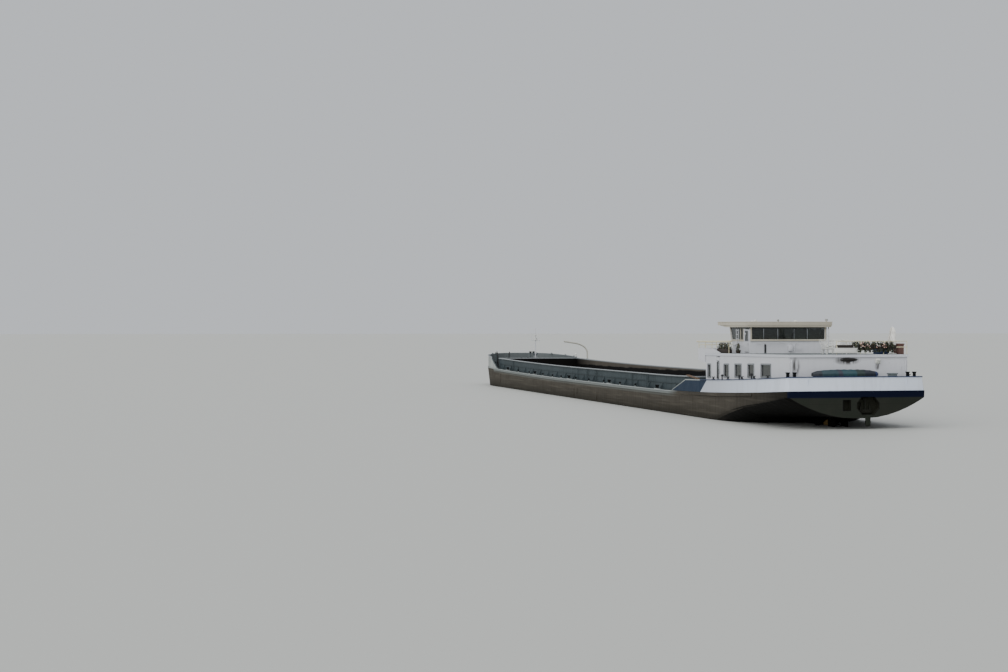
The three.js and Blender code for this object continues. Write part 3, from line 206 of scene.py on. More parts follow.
def weathered_paint(name, tone, dirt, roughness=0.5, patch=0.35, streak=0.5, dents=0.0, sheen=0.35):
    """Rolled paint on steel plate: patches of older tone two metres wide, runs of dirt 0.3 m wide down it,
    and the roller's texture, drawn 60 mm coarse where the real one is 2 mm. The eye gets flat faces that are
    never quite even. Gives the material, its tree, the colour so far and the shaded point."""
    made, tree, shader, where = new_material(name, roughness, Specular_IOR_Level=sheen)
    patches = add(tree, "TexNoise", where, Scale=0.45, Detail=6, Roughness=0.62)
    tall = add(tree, "Mapping", where, Scale=(2.6, 2.6, 0.16))
    runs = add(tree, "TexNoise", tall, Scale=1.3, Detail=5, Roughness=0.6)
    colour = laid(tree, tone, laid(tree, tone, dirt, share=0.5), (patches, 0.4, 0.68), share=patch)
    colour = laid(tree, colour, dirt, (runs, 0.52, 0.72), share=streak)
    grain = add(tree, "TexNoise", where, Scale=16, Detail=3)
    relief = add(tree, "Bump", Strength=0.12, Distance=0.002, Height=grain)
    if dents:
        slow = add(tree, "TexNoise", where, Scale=0.9, Detail=2)
        relief = add(tree, "Bump", Strength=dents, Distance=0.02, Height=slow, Normal=relief)
    tree.links.new(relief, shader.inputs["Normal"])
    tree.links.new(colour, shader.inputs["Base Color"])
    return made, tree, colour, where


def repaint(node_names, finish, colour=None):
    """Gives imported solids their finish, with a last colour if there is one; their shapes stay as they are."""
    if colour:
        tree = finish.node_tree
        tree.links.new(colour, tree.nodes["Principled BSDF"].inputs["Base Color"])
    for node_name in node_names:
        for slot in nodes[node_name].material_slots:
            slot.material = finish


hull_finish, tree, colour, where = weathered_paint(
    "weathered_alkyd_hull_paint", "#45413a", "#26211a", 0.7, patch=0.6, streak=0.3, dents=0.2, sheen=0.08)
s, y, z = add(tree, "SeparateXYZ", where).node.outputs
facing = add(tree, "SeparateXYZ", add(tree, "TexCoord").node.outputs["Normal"]).node.outputs
depth = below_deck_edge(tree, s, z)
width = add(tree, "Math", y, operation="ABSOLUTE")
upward, at_transom, clear_of_stern = (facing[2], 0.7, 0.8), (s, 0.5, 0.42), (s, 19, 21)
# Rub marks of quay walls: level scrapes of bare brown steel, 0.2 m high and some metres long
flatways = add(tree, "Mapping", where, Scale=(0.12, 0.12, 3.4))
scrapes = add(tree, "TexNoise", flatways, Scale=1.6, Detail=6, Roughness=0.65)
colour = laid(tree, colour, "#59544b", (scrapes, 0.5, 0.66), share=0.7)
# Wet band and weed over the waterline, and tar black bottom paint
colour = laid(tree, colour, "#1c1a13", (z, 2.0, 1.15), share=0.75)
colour = laid(tree, colour, "#080807", (z, 1.16, 1.08))
# Soot and painted shade up the run of the stern, and painted shade on the faces that look downwards under its
# overhang, fading forward
run = add(tree, "Math", s, -0.19, 3.33, operation="MULTIPLY_ADD")
run = add(tree, "Math", run, z, operation="SUBTRACT")
soot_and_shade = 0.0
for value, start, full, most in ((run, -0.45, 0.3, 0.96), (facing[2], -0.1, -0.5, 0.97), (s, 8.5, 0.5, 0.8)):
    reach = add(tree, "MapRange", value, start, full, To_Max=most)
    soot_and_shade = add(tree, "Math", soot_and_shade, reach, operation="MAXIMUM")
colour = laid(tree, colour, "#070706", (s, 17, 9), share=soot_and_shade)
# The transom keeps a fresher grey green, with a navy band above a straight lower edge
smeared = laid(tree, "#20261f", "#2b2a26", share=add(tree, "TexNoise", where, Scale=0.8, Detail=5))
colour = laid(tree, colour, smeared, (facing[0], -0.9, -0.94), at_transom)
colour = laid(tree, colour, "#060c20", (z, 2.985, 3.005), at_transom)
# Pale paint on the edge of the deck and the top of the strake: partly wear, partly a painted highlight
colour = laid(tree, colour, "#a0a5a4", (depth, 0.1, 0.05), clear_of_stern, share=0.9)
colour = laid(tree, colour, "#7d8381", (width, 4.745, 4.76), clear_of_stern, (depth, 0.42, 0.36), share=0.7)
# Walked decks: blue grey deck paint, scuffed
scuffs = add(tree, "TexNoise", where, Scale=1.4, Detail=7, Roughness=0.7)
deck_tone = laid(tree, "#2b3236", "#454948", (scuffs, 0.42, 0.65))
colour = laid(tree, colour, deck_tone, upward, (depth, 0.12, 0.06))
# Bollards, vents and pipe caps that stand on the deck are tarred black; the vents by the hold stay grey below
tarred = laid(tree, "#101213", "#3d4446", (s, 76.8, 76.9), (s, 78.0, 77.9), (z, 4.4, 4.35))
colour = laid(tree, colour, tarred, (depth, -0.04, -0.07), (width, 2.9, 3.0))
# Inside the hold: bare steel blackened by cargo, with rust. The walls are near black, partly as painted shade
# of the deep hold, and the floor that faces up is lighter
rust = (add(tree, "TexNoise", where, Scale=0.6, Detail=8, Roughness=0.7), 0.45, 0.7)
hold_dirt_and_shade = laid(tree, laid(tree, "#060505", "#120b07", rust), laid(tree, "#2e2b28", "#3d2d20", rust), upward)
colour = laid(tree, colour, hold_dirt_and_shade, (width, 4.07, 4.05), (s, 16.9, 16.99), (s, 76.6, 76.51))
# The pockets in the transom are painted dark inside: painted shade of the recesses
for centre, half in (((0.6, -0.56, 2.5), (0.6, 0.84, 0.64)), ((0.6, 0.81, 2.54), (0.6, 0.3, 0.38))):
    colour = laid(tree, colour, "#25261f", (s, 0.06, 0.12), share=in_box(tree, (s, y, z), centre, half))
# Plate seams as a shallow weld bead, and plating dished in between frames half a metre apart
across = add(tree, "Math", s, y, operation="SUBTRACT")
seams = add(tree, "TexBrick", add(tree, "CombineXYZ", across, z), Scale=1.0, Mortar_Size=0.018,
            Mortar_Smooth=0.4, Brick_Width=6.0, Row_Height=1.31).node.outputs["Fac"]
FRAME_SPACING = 0.55
frames = add(tree, "Math", s, 2 * math.pi / FRAME_SPACING, operation="MULTIPLY")
frames = add(tree, "Math", frames, operation="SINE")
normal = tree.nodes["Principled BSDF"].inputs["Normal"]
relief = normal.links[0].from_socket
relief = add(tree, "Bump", Strength=0.035, Distance=0.006, Height=frames, Normal=relief)
relief = add(tree, "Bump", Strength=0.25, Distance=0.003, Height=seams, Normal=relief)
tree.links.new(relief, normal)
colour = laid(tree, colour, "#171511", (seams, 0, 1), share=0.2)
repaint(["hull_aft", "hull_fore", "hull_double_bottom", "hull_wing_port", "hull_wing_starboard", "shaft_skeg",
         "propeller_nozzle", "rudder_port", "rudder_starboard", "tender_cradle"], hull_finish, colour)


# Bars, anodes and sounding pipes of the hull
# Flat bars welded upright on the side take the rub of lock walls, zinc anodes sit low on the plating, and
# capped sounding pipes stand along the deck edge. All are small steel or zinc pieces welded on.
def block(low, high, edge=0.01):
    """A plate or box between two corners in the vessel's metres, with its edges broken by a small bevel."""
    a, b = place(*low), place(*high)
    only_selected()
    bpy.ops.mesh.primitive_cube_add(size=1, location=(a + b) / 2, scale=b - a)
    bpy.ops.object.transform_apply(location=True, rotation=True, scale=True)
    with edit_mode():
        bpy.ops.mesh.bevel(offset=edge / 10, segments=2, affect="EDGES", clamp_overlap=True)
    return bpy.context.object


def rod(start, end, radius, tip=None, sides=12):
    """A round bar between two points in the vessel's metres; with a tip radius it tapers."""
    a, b = place(*start), place(*end)
    ends = {"radius1": radius / 10, "radius2": (radius if tip is None else tip) / 10}
    only_selected()
    bpy.ops.mesh.primitive_cone_add(vertices=sides, depth=(b - a).length, **ends)
    made = bpy.context.object
    made.rotation_mode = "QUATERNION"
    made.rotation_quaternion = (b - a).to_track_quat("Z", "Y")
    made.location = (a + b) / 2
    bpy.ops.object.transform_apply(location=True, rotation=True, scale=True)
    return made


def turned(s, y, *stages):
    """Round pieces on one upright axis, each with its foot, head and radius, and tip and sides if need be."""
    return [rod((s, y, foot), (s, y, head), *sizes) for foot, head, *sizes in stages]


def shifted(piece, ds=0.0, dy=0.0, dz=0.0):
    """A copy with its own mesh, moved by metres of the vessel."""
    twin = bpy.data.objects.new(piece.name, piece.data.copy())
    bpy.context.scene.collection.objects.link(twin)
    twin.data.transform(Matrix.Translation(Vector((ds, dy, dz)) / 10))
    return twin


def other_side(pieces):
    """Copies of pieces mirrored to the other side of the vessel, turned right side out."""
    twins = [shifted(piece) for piece in pieces]
    for twin in twins:
        twin.data.transform(Matrix.Diagonal((1, -1, 1, 1)))
        twin.data.flip_normals()
    return twins


def welded(pieces, name, finish, body="hull", crease=35):
    """Joins pieces that are fixed together, gives them their finish and lets them ride on a body."""
    only_selected(*pieces)
    if len(pieces) > 1:
        bpy.ops.object.join()
    whole = bpy.context.object
    whole.name = whole.data.name = name
    whole.data.materials.clear()
    whole.data.materials.append(finish)
    bpy.ops.object.shade_smooth_by_angle(angle=math.radians(crease))
    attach(whole, body)
    return whole


def toned(shader, pattern, one, other, relief=0.0, deep=0.001):
    """Two tones that follow one pattern, and a relief of it that is so many metres of the model deep."""
    tree = shader.id_data
    tree.links.new(laid(tree, one, other, share=pattern), shader.inputs["Base Color"])
    if relief:
        bump = add(tree, "Bump", Strength=relief, Distance=deep, Height=pattern)
        tree.links.new(bump, shader.inputs["Normal"])


def spotted(name, roughness, one, other, scale, detail, relief=0.0, deep=0.001, stretch=(1, 1, 1), **looks):
    """A material in two tones, laid in spots so many to the metre, which can be stretched and raised."""
    made, tree, shader, where = new_material(name, roughness, **looks)
    where = add(tree, "Mapping", where, Scale=stretch)
    toned(shader, add(tree, "TexNoise", where, Scale=scale, Detail=detail), one, other, relief, deep)
    return made


RUBBING_BARS = ((73.59, 1.59, 2.47), (45.9, 1.36, 1.95), (44.9, 1.48, 2.02), (38.99, 1.25, 1.85))
bars = [block((at - 0.06, 4.73, low), (at + 0.06, 4.79, high)) for at, low, high in RUBBING_BARS]
welded(bars + other_side(bars), "rubbing_bars", hull_finish)

# Zinc eaten by the water looks dull and spotted; its pits of 5 mm are drawn 70 mm wide to show
zinc = spotted("pitted_cast_zinc", 0.6, "#8d8f90", "#5c5f5f", 14, 5, 0.4, Metallic=0.8)
anodes = [block((at, 4.73, 0.72), (at + 0.6, 4.8, 0.84), 0.03) for at in (21, 31, 41, 51, 61, 71)]
welded(anodes + other_side(anodes), "side_anodes", zinc)

SOUNDING_PIPES = (29.2, 33.1, 37.5, 41.8, 50.6, 53.6, 57.0, 62.2, 66.5)
stubs = turned(45.8, 4.6, (2.69, 2.84, 0.05), (2.84, 2.9, 0.085), (2.9, 2.94, 0.03))
stubs += [shifted(part, at - 45.8, 0, deck(at) - deck(45.8)) for at in SOUNDING_PIPES for part in stubs]
welded(stubs + other_side(stubs), "sounding_pipe_caps", hull_finish)


# Hold coamings
# Upright plates 1.05 m high with a flange on top and low knees at the foot. Blue grey paint, streaked by
# water off the top edge; the crew's boots and hatch gear wear the top to pale grey.
coaming_finish, tree, colour, where = weathered_paint(
    "streaked_blue_grey_paint", "#414a4d", "#24292a", 0.6, patch=0.55, streak=0.6, dents=0.15, sheen=0.12)
s, y, z = add(tree, "SeparateXYZ", where).node.outputs
depth = below_deck_edge(tree, s, z)
width = add(tree, "Math", y, operation="ABSOLUTE")
# Inside, cargo dirt and painted shade of the deep hold blacken all but a strip under the top, which is deeper
# forward and ends short of the bow
dust_and_shade_noise = add(tree, "TexNoise", where, Scale=0.5, Detail=6)
strip_foot = add(tree, "Math", s, 0.0111, -1.29, operation="MULTIPLY_ADD")
strip_foot = add(tree, "Math", dust_and_shade_noise, 0.3, strip_foot, operation="MULTIPLY_ADD")
above_foot = add(tree, "Math", strip_foot, depth, operation="SUBTRACT")
dusty = laid(tree, "#46413a", "#5a554d", share=dust_and_shade_noise)
inside_dirt_and_shade = laid(tree, "#070605", dusty, (above_foot, 0.13, 0.2), (s, 76.0, 69.0), (width, 3.95, 4.0))
colour = laid(tree, colour, inside_dirt_and_shade, (width, 4.07, 4.055), (s, 16.95, 17.05), (s, 76.55, 76.45))
colour = laid(tree, colour, "#8b8f91", (depth, -0.95, -1.0), (depth, -1.3, -1.2))
COAMINGS = [f"coaming_{side}" for side in ("port", "starboard", "aft", "fore")]
repaint(COAMINGS + ["windlass_frame", "fore_hatch_lid", "mast_tabernacle"], coaming_finish, colour)
davit_finish = weathered_paint("dull_galvanised_pipe", "#aaa89d", "#77756c", 0.55, patch=0.3, streak=0.2)[0]
repaint(["davit"], davit_finish)


# Coaming trim, foot ladders and hold ladders
# A round bead stiffens the flange's edge and a flat bar runs along the plate at half its height. Ladders with
# flat stiles and round rungs lead from the side deck up the coaming and down into the hold at both ends.
def pipe(route, radius, bent=True, closed=False, fine=2):
    """A pipe along a route in the vessel's metres, with smooth bends or plain corners."""
    line = bpy.data.curves.new("route", "CURVE")
    line.dimensions, line.bevel_depth, line.bevel_resolution = "3D", radius / 10, fine
    line.use_fill_caps, line.resolution_u = not closed, 4
    run = line.splines.new("BEZIER" if bent else "POLY")
    points = run.bezier_points if bent else run.points
    points.add(len(route) - 1)
    for point, at in zip(points, route):
        point.co = place(*at) if bent else (*place(*at), 1)
        if bent:
            point.handle_left_type = point.handle_right_type = "AUTO"
    run.use_cyclic_u = closed
    made = bpy.data.objects.new("pipe", line)
    bpy.context.scene.collection.objects.link(made)
    only_selected(made)
    bpy.ops.object.convert(target="MESH")
    return bpy.context.object


def flat_bar(route, wide, high):
    """A flat bar: its end face is set upright at the first point and drawn out from point to point."""
    only_selected()
    bpy.ops.mesh.primitive_plane_add(size=1, location=place(*route[0]), rotation=(0, math.pi / 2, 0))
    made = bpy.context.object
    made.scale = (high / 10, wide / 10, 1)
    bpy.ops.object.transform_apply(location=True, rotation=True, scale=True)
    with edit_mode():
        for a, b in zip(route, route[1:]):
            step = {"value": place(*b) - place(*a), "orient_type": "GLOBAL"}
            bpy.ops.mesh.extrude_region_move(TRANSFORM_OT_translate=step)
        bpy.ops.mesh.select_all(action="SELECT")
        bpy.ops.mesh.normals_make_consistent(inside=False)
    return made


def ladder(s, y, foot, head, along=0.3, pitch=0.28, across=0.0):
    """Two stiles with rungs between; it spans fore and aft, or athwartships where across is given."""
    ends = [(s + k * along / 2, y + k * across / 2) for k in (-1, 1)]
    made = [block((a - 0.015, b - 0.015, foot), (a + 0.015, b + 0.015, head), 0.004) for a, b in ends]
    for i in range(int((head - foot) / pitch)):
        height = foot + pitch * (i + 0.6)
        made.append(rod((*ends[0], height), (*ends[1], height), 0.013, sides=8))
    return made


stations = [17.1 + 59.3 * i / 30 for i in range(31)]
beads = [pipe([(at, 4.27, deck(at) + 1.02) for at in stations], 0.04, bent=False, fine=1)]
welded(beads + other_side(beads), "coaming_top_beads", coaming_finish)
runs = [flat_bar([(at, 4.185, deck(at) + 0.5) for at in stations], 0.08, 0.04)]
welded(runs + other_side(runs), "coaming_stiffeners", coaming_finish)
FOOT_LADDERS = (27.4, 31.2, 41.0, 43.59, 46.5, 70.2)
steps = [part for at in FOOT_LADDERS for part in ladder(at, 4.24, deck(at) + 0.02, deck(at) + 0.98)]
welded(steps + other_side(steps), "coaming_foot_ladders", coaming_finish)
HOLD_FLOOR = 0.52
steps = ladder(17.16, -2.6, HOLD_FLOOR, deck(17) + 1.0, 0.0, 0.3, 0.36)
steps += ladder(76.34, 2.6, HOLD_FLOOR, deck(76.5) + 1.0, 0.0, 0.3, 0.36)
welded(steps, "hold_ladders", coaming_finish)


# Boarding plank
# A brown softwood plank 25 cm wide with end battens, laid from the coaming's aft corner to the bulwark.
# Oiled wood has long brown streaks; its grain of 2 mm is drawn 45 mm wide to show.
timber = spotted("oiled_brown_softwood", 0.7, "#4b3624", "#6d543a", 1.0, 6, 0.4, stretch=(1.2, 22, 22))
plank = [flat_bar([(18.7, 4.14, 3.845), (15.3, 4.6, 3.70)], 0.26, 0.05)]
for k in (0, 0.25, 0.5, 0.75, 1):
    s, y, z = 18.6 - 3.1 * k, 4.15 + 0.42 * k, 3.87 - 0.135 * k
    plank.append(flat_bar([(s, y, z), (s - 0.1, y + 0.015, z - 0.004)], 0.22, 0.03))
welded(plank, "boarding_plank", timber)


# Bow bulwark
# Plate bulwark over a metre high round the bow, in a paler grey than the hull, capped with a round bar.
# Roller fairleads for the mooring lines stand on it, in black bitumen paint like the bitts.
black_finish = weathered_paint("bitumen_black_paint", "#17191c", "#2d2a27", 0.5, patch=0.5, streak=0.3)[0]
bitt_finish, tree, colour, where = weathered_paint(
    "grey_bitts_with_tarred_heads", "#51585a", "#33383a", 0.5, patch=0.5, streak=0.3)
z = add(tree, "SeparateXYZ", where).node.outputs[2]
repaint(["towing_bitts"], bitt_finish, laid(tree, colour, "#121314", (z, 4.42, 4.46)))
bow_finish, tree, colour, where = weathered_paint(
    "bow_bulwark_grey_paint", "#9b9f9b", "#4a4f50", 0.55, patch=0.4, streak=0.4)
# Its inner face, which looks towards the middle of the foredeck, is painted a darker grey as painted shade
s, y, z = add(tree, "SeparateXYZ", where).node.outputs
facing = add(tree, "SeparateXYZ", add(tree, "TexCoord").node.outputs["Normal"]).node.outputs
from_middle = add(tree, "Math", s, 77.0, operation="SUBTRACT")
outward = add(tree, "Math", facing[0], from_middle, operation="MULTIPLY")
outward = add(tree, "Math", facing[1], y, outward, operation="MULTIPLY_ADD")
repaint(["bow_bulwark"], bow_finish, laid(tree, colour, "#4d5355", (outward, 0.0, -0.2), share=0.85))
BOW_TOP = ((75.4, 4.68), (76.5, 4.68), (78.2, 4.65), (79.5, 4.54), (80.6, 4.4), (81.7, 4.15), (82.6, 3.83),
           (83.3, 3.49), (83.85, 3.1), (84.25, 2.72), (84.56, 2.23), (84.78, 1.67), (84.92, 1.0))


def bow_top(s):
    """Height of the bow bulwark's top edge: a ramp up from the side deck, then a slow rise to the stem."""
    ramp = min(1.0, (s - 75.4) / 2.8)
    return deck(s) + max(0.06, 1.05 * ramp + 0.2 * max(0.0, (s - 78.2) / 6.8)) + 0.01


rim = [(s, y, bow_top(s)) for s, y in BOW_TOP]
rim = rim + [(84.93, 0, bow_top(84.93))] + [(s, -y, z) for s, y, z in reversed(rim)]
welded([pipe(rim, 0.045, bent=False, fine=1)], "bow_bulwark_bead", coaming_finish)
rollers = []
for s, y in ((79.0, 4.55), (81.2, 4.24), (83.5, 3.3)):
    top = bow_top(s)
    rollers.append(block((s - 0.22, y - 0.09, top - 0.02), (s + 0.22, y + 0.07, top + 0.05)))
    for k in (-0.15, 0.15):
        rollers += turned(s + k, y, (top + 0.04, top + 0.11, 0.05))
welded(rollers + other_side(rollers), "bow_fairleads", coaming_finish)


# Stern bulwark
# Plate 80 cm high round the stern, brushed white; ahead of a slanting line the wings are petrol blue.
# The forward part of the white, along the sides, is painted a duller grey as painted shade.
bulwark_finish, tree, colour, where = weathered_paint(
    "brushed_white_bulwark_enamel", "#ccd3df", "#9a9b99", 0.45, patch=0.2, streak=0.2, dents=0.2, sheen=0.15)
s, y, z = add(tree, "SeparateXYZ", where).node.outputs
# Painted shade: a duller grey on the white where the bulwark runs along the sides
colour = laid(tree, colour, "#9c9fa2", (s, 5.5, 13), share=0.5)
slant = add(tree, "Math", z, 1.5, s, operation="MULTIPLY_ADD")
wave = add(tree, "TexNoise", where, Scale=0.7, Detail=4)
colour = laid(tree, colour, laid(tree, "#081d32", "#0d273d", share=wave), (slant, 18.82, 18.86))
repaint(["stern_bulwark"], bulwark_finish, colour)
cap_finish = weathered_paint("navy_cap_rail_enamel", "#1c2c4e", "#40444c", 0.4, patch=0.5, streak=0.2)[0]
repaint(["stern_cap_rail"], cap_finish)


# Wing bars, bulwark stays and deck gear of the stern
# A pale round bar caps each wing down to the side deck. Inside, triangular stays carry the bulwark. Cleats
# stand on the cap rail, with mushroom vents just behind it on the side decks.
WING_TOP = ((14.7, 0.81), (17.6, 0.81), (20.25, 0.09), (20.4, 0.03))
wing_bar = [pipe([(s, 4.67, deck(s) + up) for s, up in WING_TOP], 0.045, bent=False)]
welded(wing_bar + other_side(wing_bar), "wing_bars", bow_finish)


def stay(s, y, ds, dy):
    """A triangular stay with its foot on the deck and its upright edge on the bulwark's inner face."""
    half_s, half_y = 0.012 + ds / 2, 0.012 + dy / 2
    made = block((s - half_s, y - half_y, deck(s) + 0.01), (s + half_s, y + half_y, deck(s) + 0.74), 0.002)
    centre = place(s, y, deck(s) + 0.4)
    for vertex in made.data.vertices:
        if vertex.co.z > centre.z:
            vertex.co.y += (dy * 0.8 / 10) * (1 if y > 0 else -1) * (abs(vertex.co.y) < abs(centre.y))
            vertex.co.x -= (ds * 0.8 / 10) * (vertex.co.x > centre.x)
    return made


stays = [stay(at, 4.46, 0, 0.32) for at in (2.6, 4.1, 5.6, 7.1, 8.6, 10.1, 11.6, 13.1, 14.6, 16.1, 17.4)]
stays += other_side(stays) + [stay(0.42, y, 0.3, 0) for y in (-3.2, -2.2, 3.2)]
welded(stays, "bulwark_stays", bulwark_finish)

RAIL_TOP, CLEAT_Y, VENT_Y = 0.866, 4.65, 4.5
CLEAT_ARMS = ((-0.24, 0.17), (-0.1, 0.14), (0.1, 0.14), (0.24, 0.17))
gear = []
for at in (2.9, 5.11, 7.15, 9.56, 12.23):
    z = deck(at) + RAIL_TOP
    gear.append(block((at - 0.16, 4.58, z), (at + 0.16, 4.72, z + 0.03)))
    for k in (-0.08, 0.08):
        gear += turned(at + k, CLEAT_Y, (z + 0.02, z + 0.13, 0.03))
    gear.append(pipe([(at + k, CLEAT_Y, z + up) for k, up in CLEAT_ARMS], 0.028))
welded(gear + other_side(gear), "cap_rail_cleats", black_finish)
vents = []
for at, high in ((5.92, 1.22), (7.99, 1.16), (11.02, 1.2)):
    head = deck(at) + high
    vents += turned(at, VENT_Y, (deck(at), head - 0.12, 0.045), (head - 0.13, head - 0.05, 0.085),
                    (head - 0.05, head, 0.085, 0.03))
welded(vents + other_side(vents), "side_deck_vents", black_finish)


# Anchor pocket and guard of the transom
# The stern anchor's pocket and the smaller recess beside it are lined with a round bar welded into the plate
# edge. A flat guard bar below the pocket keeps the chain off the rudders.
POCKET = ((-0.4, 1.93), (0.4, 1.93), (0.75, 2.35), (0.75, 2.68), (0.45, 3.07), (-0.45, 3.07), (-0.75, 2.68),
          (-0.75, 2.35))
RECESS = ((0.58, 2.23), (1.05, 2.23), (1.05, 2.85), (0.58, 2.85))
pocket_edge = [(0.045, y * 0.97 - 0.56, 2.5 + (z - 2.5) * 0.97) for y, z in POCKET]
trim = [pipe(pocket_edge, 0.035, bent=False, closed=True),
        pipe([(0.05, y, z) for y, z in RECESS], 0.03, bent=False, closed=True)]
welded(trim, "transom_pocket_trim", hull_finish)
guard = [block((0.01, -0.72, 1.3), (0.09, -0.38, 1.97), 0.03), block((0.0, -0.58, 1.33), (0.05, -0.5, 1.9))]
welded(guard, "transom_guard_bar", hull_finish)


# Deckhouse and wheelhouse walls
# Smooth steel walls in brushed off-white enamel. Rain draws faint grey runs down from the boat deck, and the
# engine's exhaust leaves soot below its flap on the aft wall.
house_finish, tree, colour, where = weathered_paint(
    "brushed_off_white_house_enamel", "#c6c7cb", "#97979a", 0.38, patch=0.15, streak=0.15)
s, y, z = add(tree, "SeparateXYZ", where).node.outputs
SOOT_FIELDS = ((3.42, 0.3, 4.85, 0.62), (0.1, 0.95, 5.18, 0.3), (-1.85, 0.16, 4.8, 0.25))
trails = add(tree, "TexNoise", add(tree, "Mapping", where, Scale=(1, 3.2, 0.6)), Scale=1.7, Detail=4)
for centre_y, half_y, centre_z, half_z in SOOT_FIELDS:
    far = 0.0
    for value, centre, half in ((y, centre_y, half_y), (z, centre_z, half_z)):
        off = add(tree, "Math", value, centre, operation="SUBTRACT")
        off = add(tree, "Math", off, half, operation="DIVIDE")
        far = add(tree, "Math", off, off, far, operation="MULTIPLY_ADD")
    colour = laid(tree, colour, "#3c3835", (far, 1.0, 0.2), (trails, 0.34, 0.54), (s, 1.62, 1.55), share=0.95)
# A dark strip over the wheelhouse windows, under the eaves of the roof: a black gasket with painted shade of
# the eaves
colour = laid(tree, colour, "#2e302d", (z, 7.0849, 7.0851), (s, 15.001, 15.0))
HOUSE_PARTS = ("wall_port", "wall_starboard", "wall_aft", "wall_fore", "door_port", "door_starboard")
house_nodes = [f"{house}_{part}" for house in ("deckhouse", "wheelhouse") for part in HOUSE_PARTS]
repaint(house_nodes + ["forward_balcony", "foremast"], house_finish, colour)


# Rails of the boat deck and the balcony
# Welded steel pipe rails in cream enamel. The planter at the aft rail is brown and the locker beside it a
# faded red brown; both are welded to the rail.
rail_finish, tree, colour, where = weathered_paint(
    "cream_rail_enamel", "#cdc6a9", "#8d8574", 0.42, patch=0.3, streak=0.1)
spot = add(tree, "SeparateXYZ", where).node.outputs
colour = laid(tree, colour, "#221c17", share=in_box(tree, spot, (1.62, -1.17, 5.98), (0.15, 1.96, 0.16)))
colour = laid(tree, colour, "#5f4640", share=in_box(tree, spot, (2.2, -3.66, 5.83), (0.33, 0.2, 0.34)))
repaint(["boat_deck_rail", "balcony_rail"], rail_finish, colour)


# Decks, roof and machinery
# The boat deck and the cabin floor carry grey paint with sand in it; the wheelhouse roof is cream and
# weathers to a mottled beige. The engine and the console are machine grey.
deck_finish, tree, colour, where = weathered_paint(
    "sanded_grey_deck_paint", "#59605f", "#3b3f40", 0.85, patch=0.6, streak=0.1)
# Sand of 1 mm makes the paint dull and rough; it is drawn 17 mm wide to show
sand = add(tree, "TexNoise", where, Scale=60, Detail=2)
relief = add(tree, "Bump", Strength=0.4, Distance=0.001, Height=sand)
tree.links.new(relief, tree.nodes["Principled BSDF"].inputs["Normal"])
# The edge of the boat deck is house white
z = add(tree, "SeparateXYZ", where).node.outputs[2]
upward = add(tree, "SeparateXYZ", add(tree, "TexCoord").node.outputs["Normal"]).node.outputs[2]
colour = laid(tree, colour, "#bfc1c6", (upward, 0.6, 0.4), (z, 4.9, 5.0))
repaint(["boat_deck", "deckhouse_floor"], deck_finish, colour)
roof_finish = weathered_paint("cream_roof_enamel", "#b5af9f", "#7f7868", 0.5, patch=0.5, streak=0.15)[0]
repaint(["wheelhouse_roof"], roof_finish)
machine_finish = weathered_paint("machine_grey_enamel", "#5c6466", "#33383a", 0.35, patch=0.2, streak=0.1)[0]
repaint(["engine_block", "steering_console"], machine_finish)


# Cast and turned metal
# Anchors and the windlass drum are cast steel, dark with a brown bloom. The propeller is cast nickel
# aluminium bronze, ground on its blade faces.
steel_finish, tree, shader, where = new_material("cast_steel_with_brown_bloom", 0.7, Metallic=0.3)
# Castings look dull and blotched; their skin of 3 mm grains is drawn 30 mm wide to show
skin = add(tree, "TexNoise", where, Scale=30, Detail=4)
tree.links.new(add(tree, "Bump", Strength=0.35, Distance=0.001, Height=skin), shader.inputs["Normal"])
bloom = add(tree, "TexNoise", where, Scale=3.5, Detail=8, Roughness=0.7)
steel_tone = laid(tree, "#232526", "#32251c", (bloom, 0.42, 0.68))
repaint(["bow_anchor_port", "bow_anchor_starboard", "windlass_drum"], steel_finish, steel_tone)
# The stern anchor is painted nearly black as painted shade of the dark pocket it lies in
anchor_shade_finish = weathered_paint(
    "anchor_steel_in_painted_shade", "#20211c", "#1a1713", 0.75, patch=0.5, streak=0.2, sheen=0.1)[0]
repaint(["stern_anchor"], anchor_shade_finish)
# Bronze goes brown in the water and is painted darker still as painted shade under the stern, with darker
# marks 0.1 m wide
bronze_finish = spotted("tarnished_cast_bronze_in_painted_shade", 0.5, "#6a5634", "#3f3724", 8, 5, Metallic=1.0)
repaint(["propeller"], bronze_finish)


# Wheelhouse glazing and helm chair
# Toughened glass 8 mm thick with a grey green tint, set in rubber; the helm chair is black synthetic leather.
# The panes look dark and smooth, with a faint film in patches of 0.8 m.
glass_finish = spotted("tinted_toughened_glass", 0.03, "#414b45", "#505a53", 1.2, 3,
                       IOR=1.5, Transmission_Weight=0.92)
repaint([f"wheelhouse_window_{side}" for side in ("aft", "fore", "port", "starboard")], glass_finish)
# The leather's grain of 1 mm breaks its sheen up; it is drawn 11 mm wide to show
chair_finish, tree, shader, where = new_material("black_synthetic_leather", 0.5)
toned(shader, add(tree, "TexVoronoi", where, Scale=90), "#1c1e20", "#2a2c2e", 0.3, 0.0006)
repaint(["helm_chair"], chair_finish)


# Deckhouse windows
# Aluminium frames with rounded corners are screwed over each opening, with a grey tinted pane behind and
# light net curtains drawn to the sides.
def finished(piece, kind, **settings):
    """Puts a modifier on a piece and applies it."""
    only_selected(piece)
    modifier = piece.modifiers.new("finish", kind)
    for name, value in settings.items():
        setattr(modifier, name, value)
    bpy.ops.object.modifier_apply(modifier="finish")


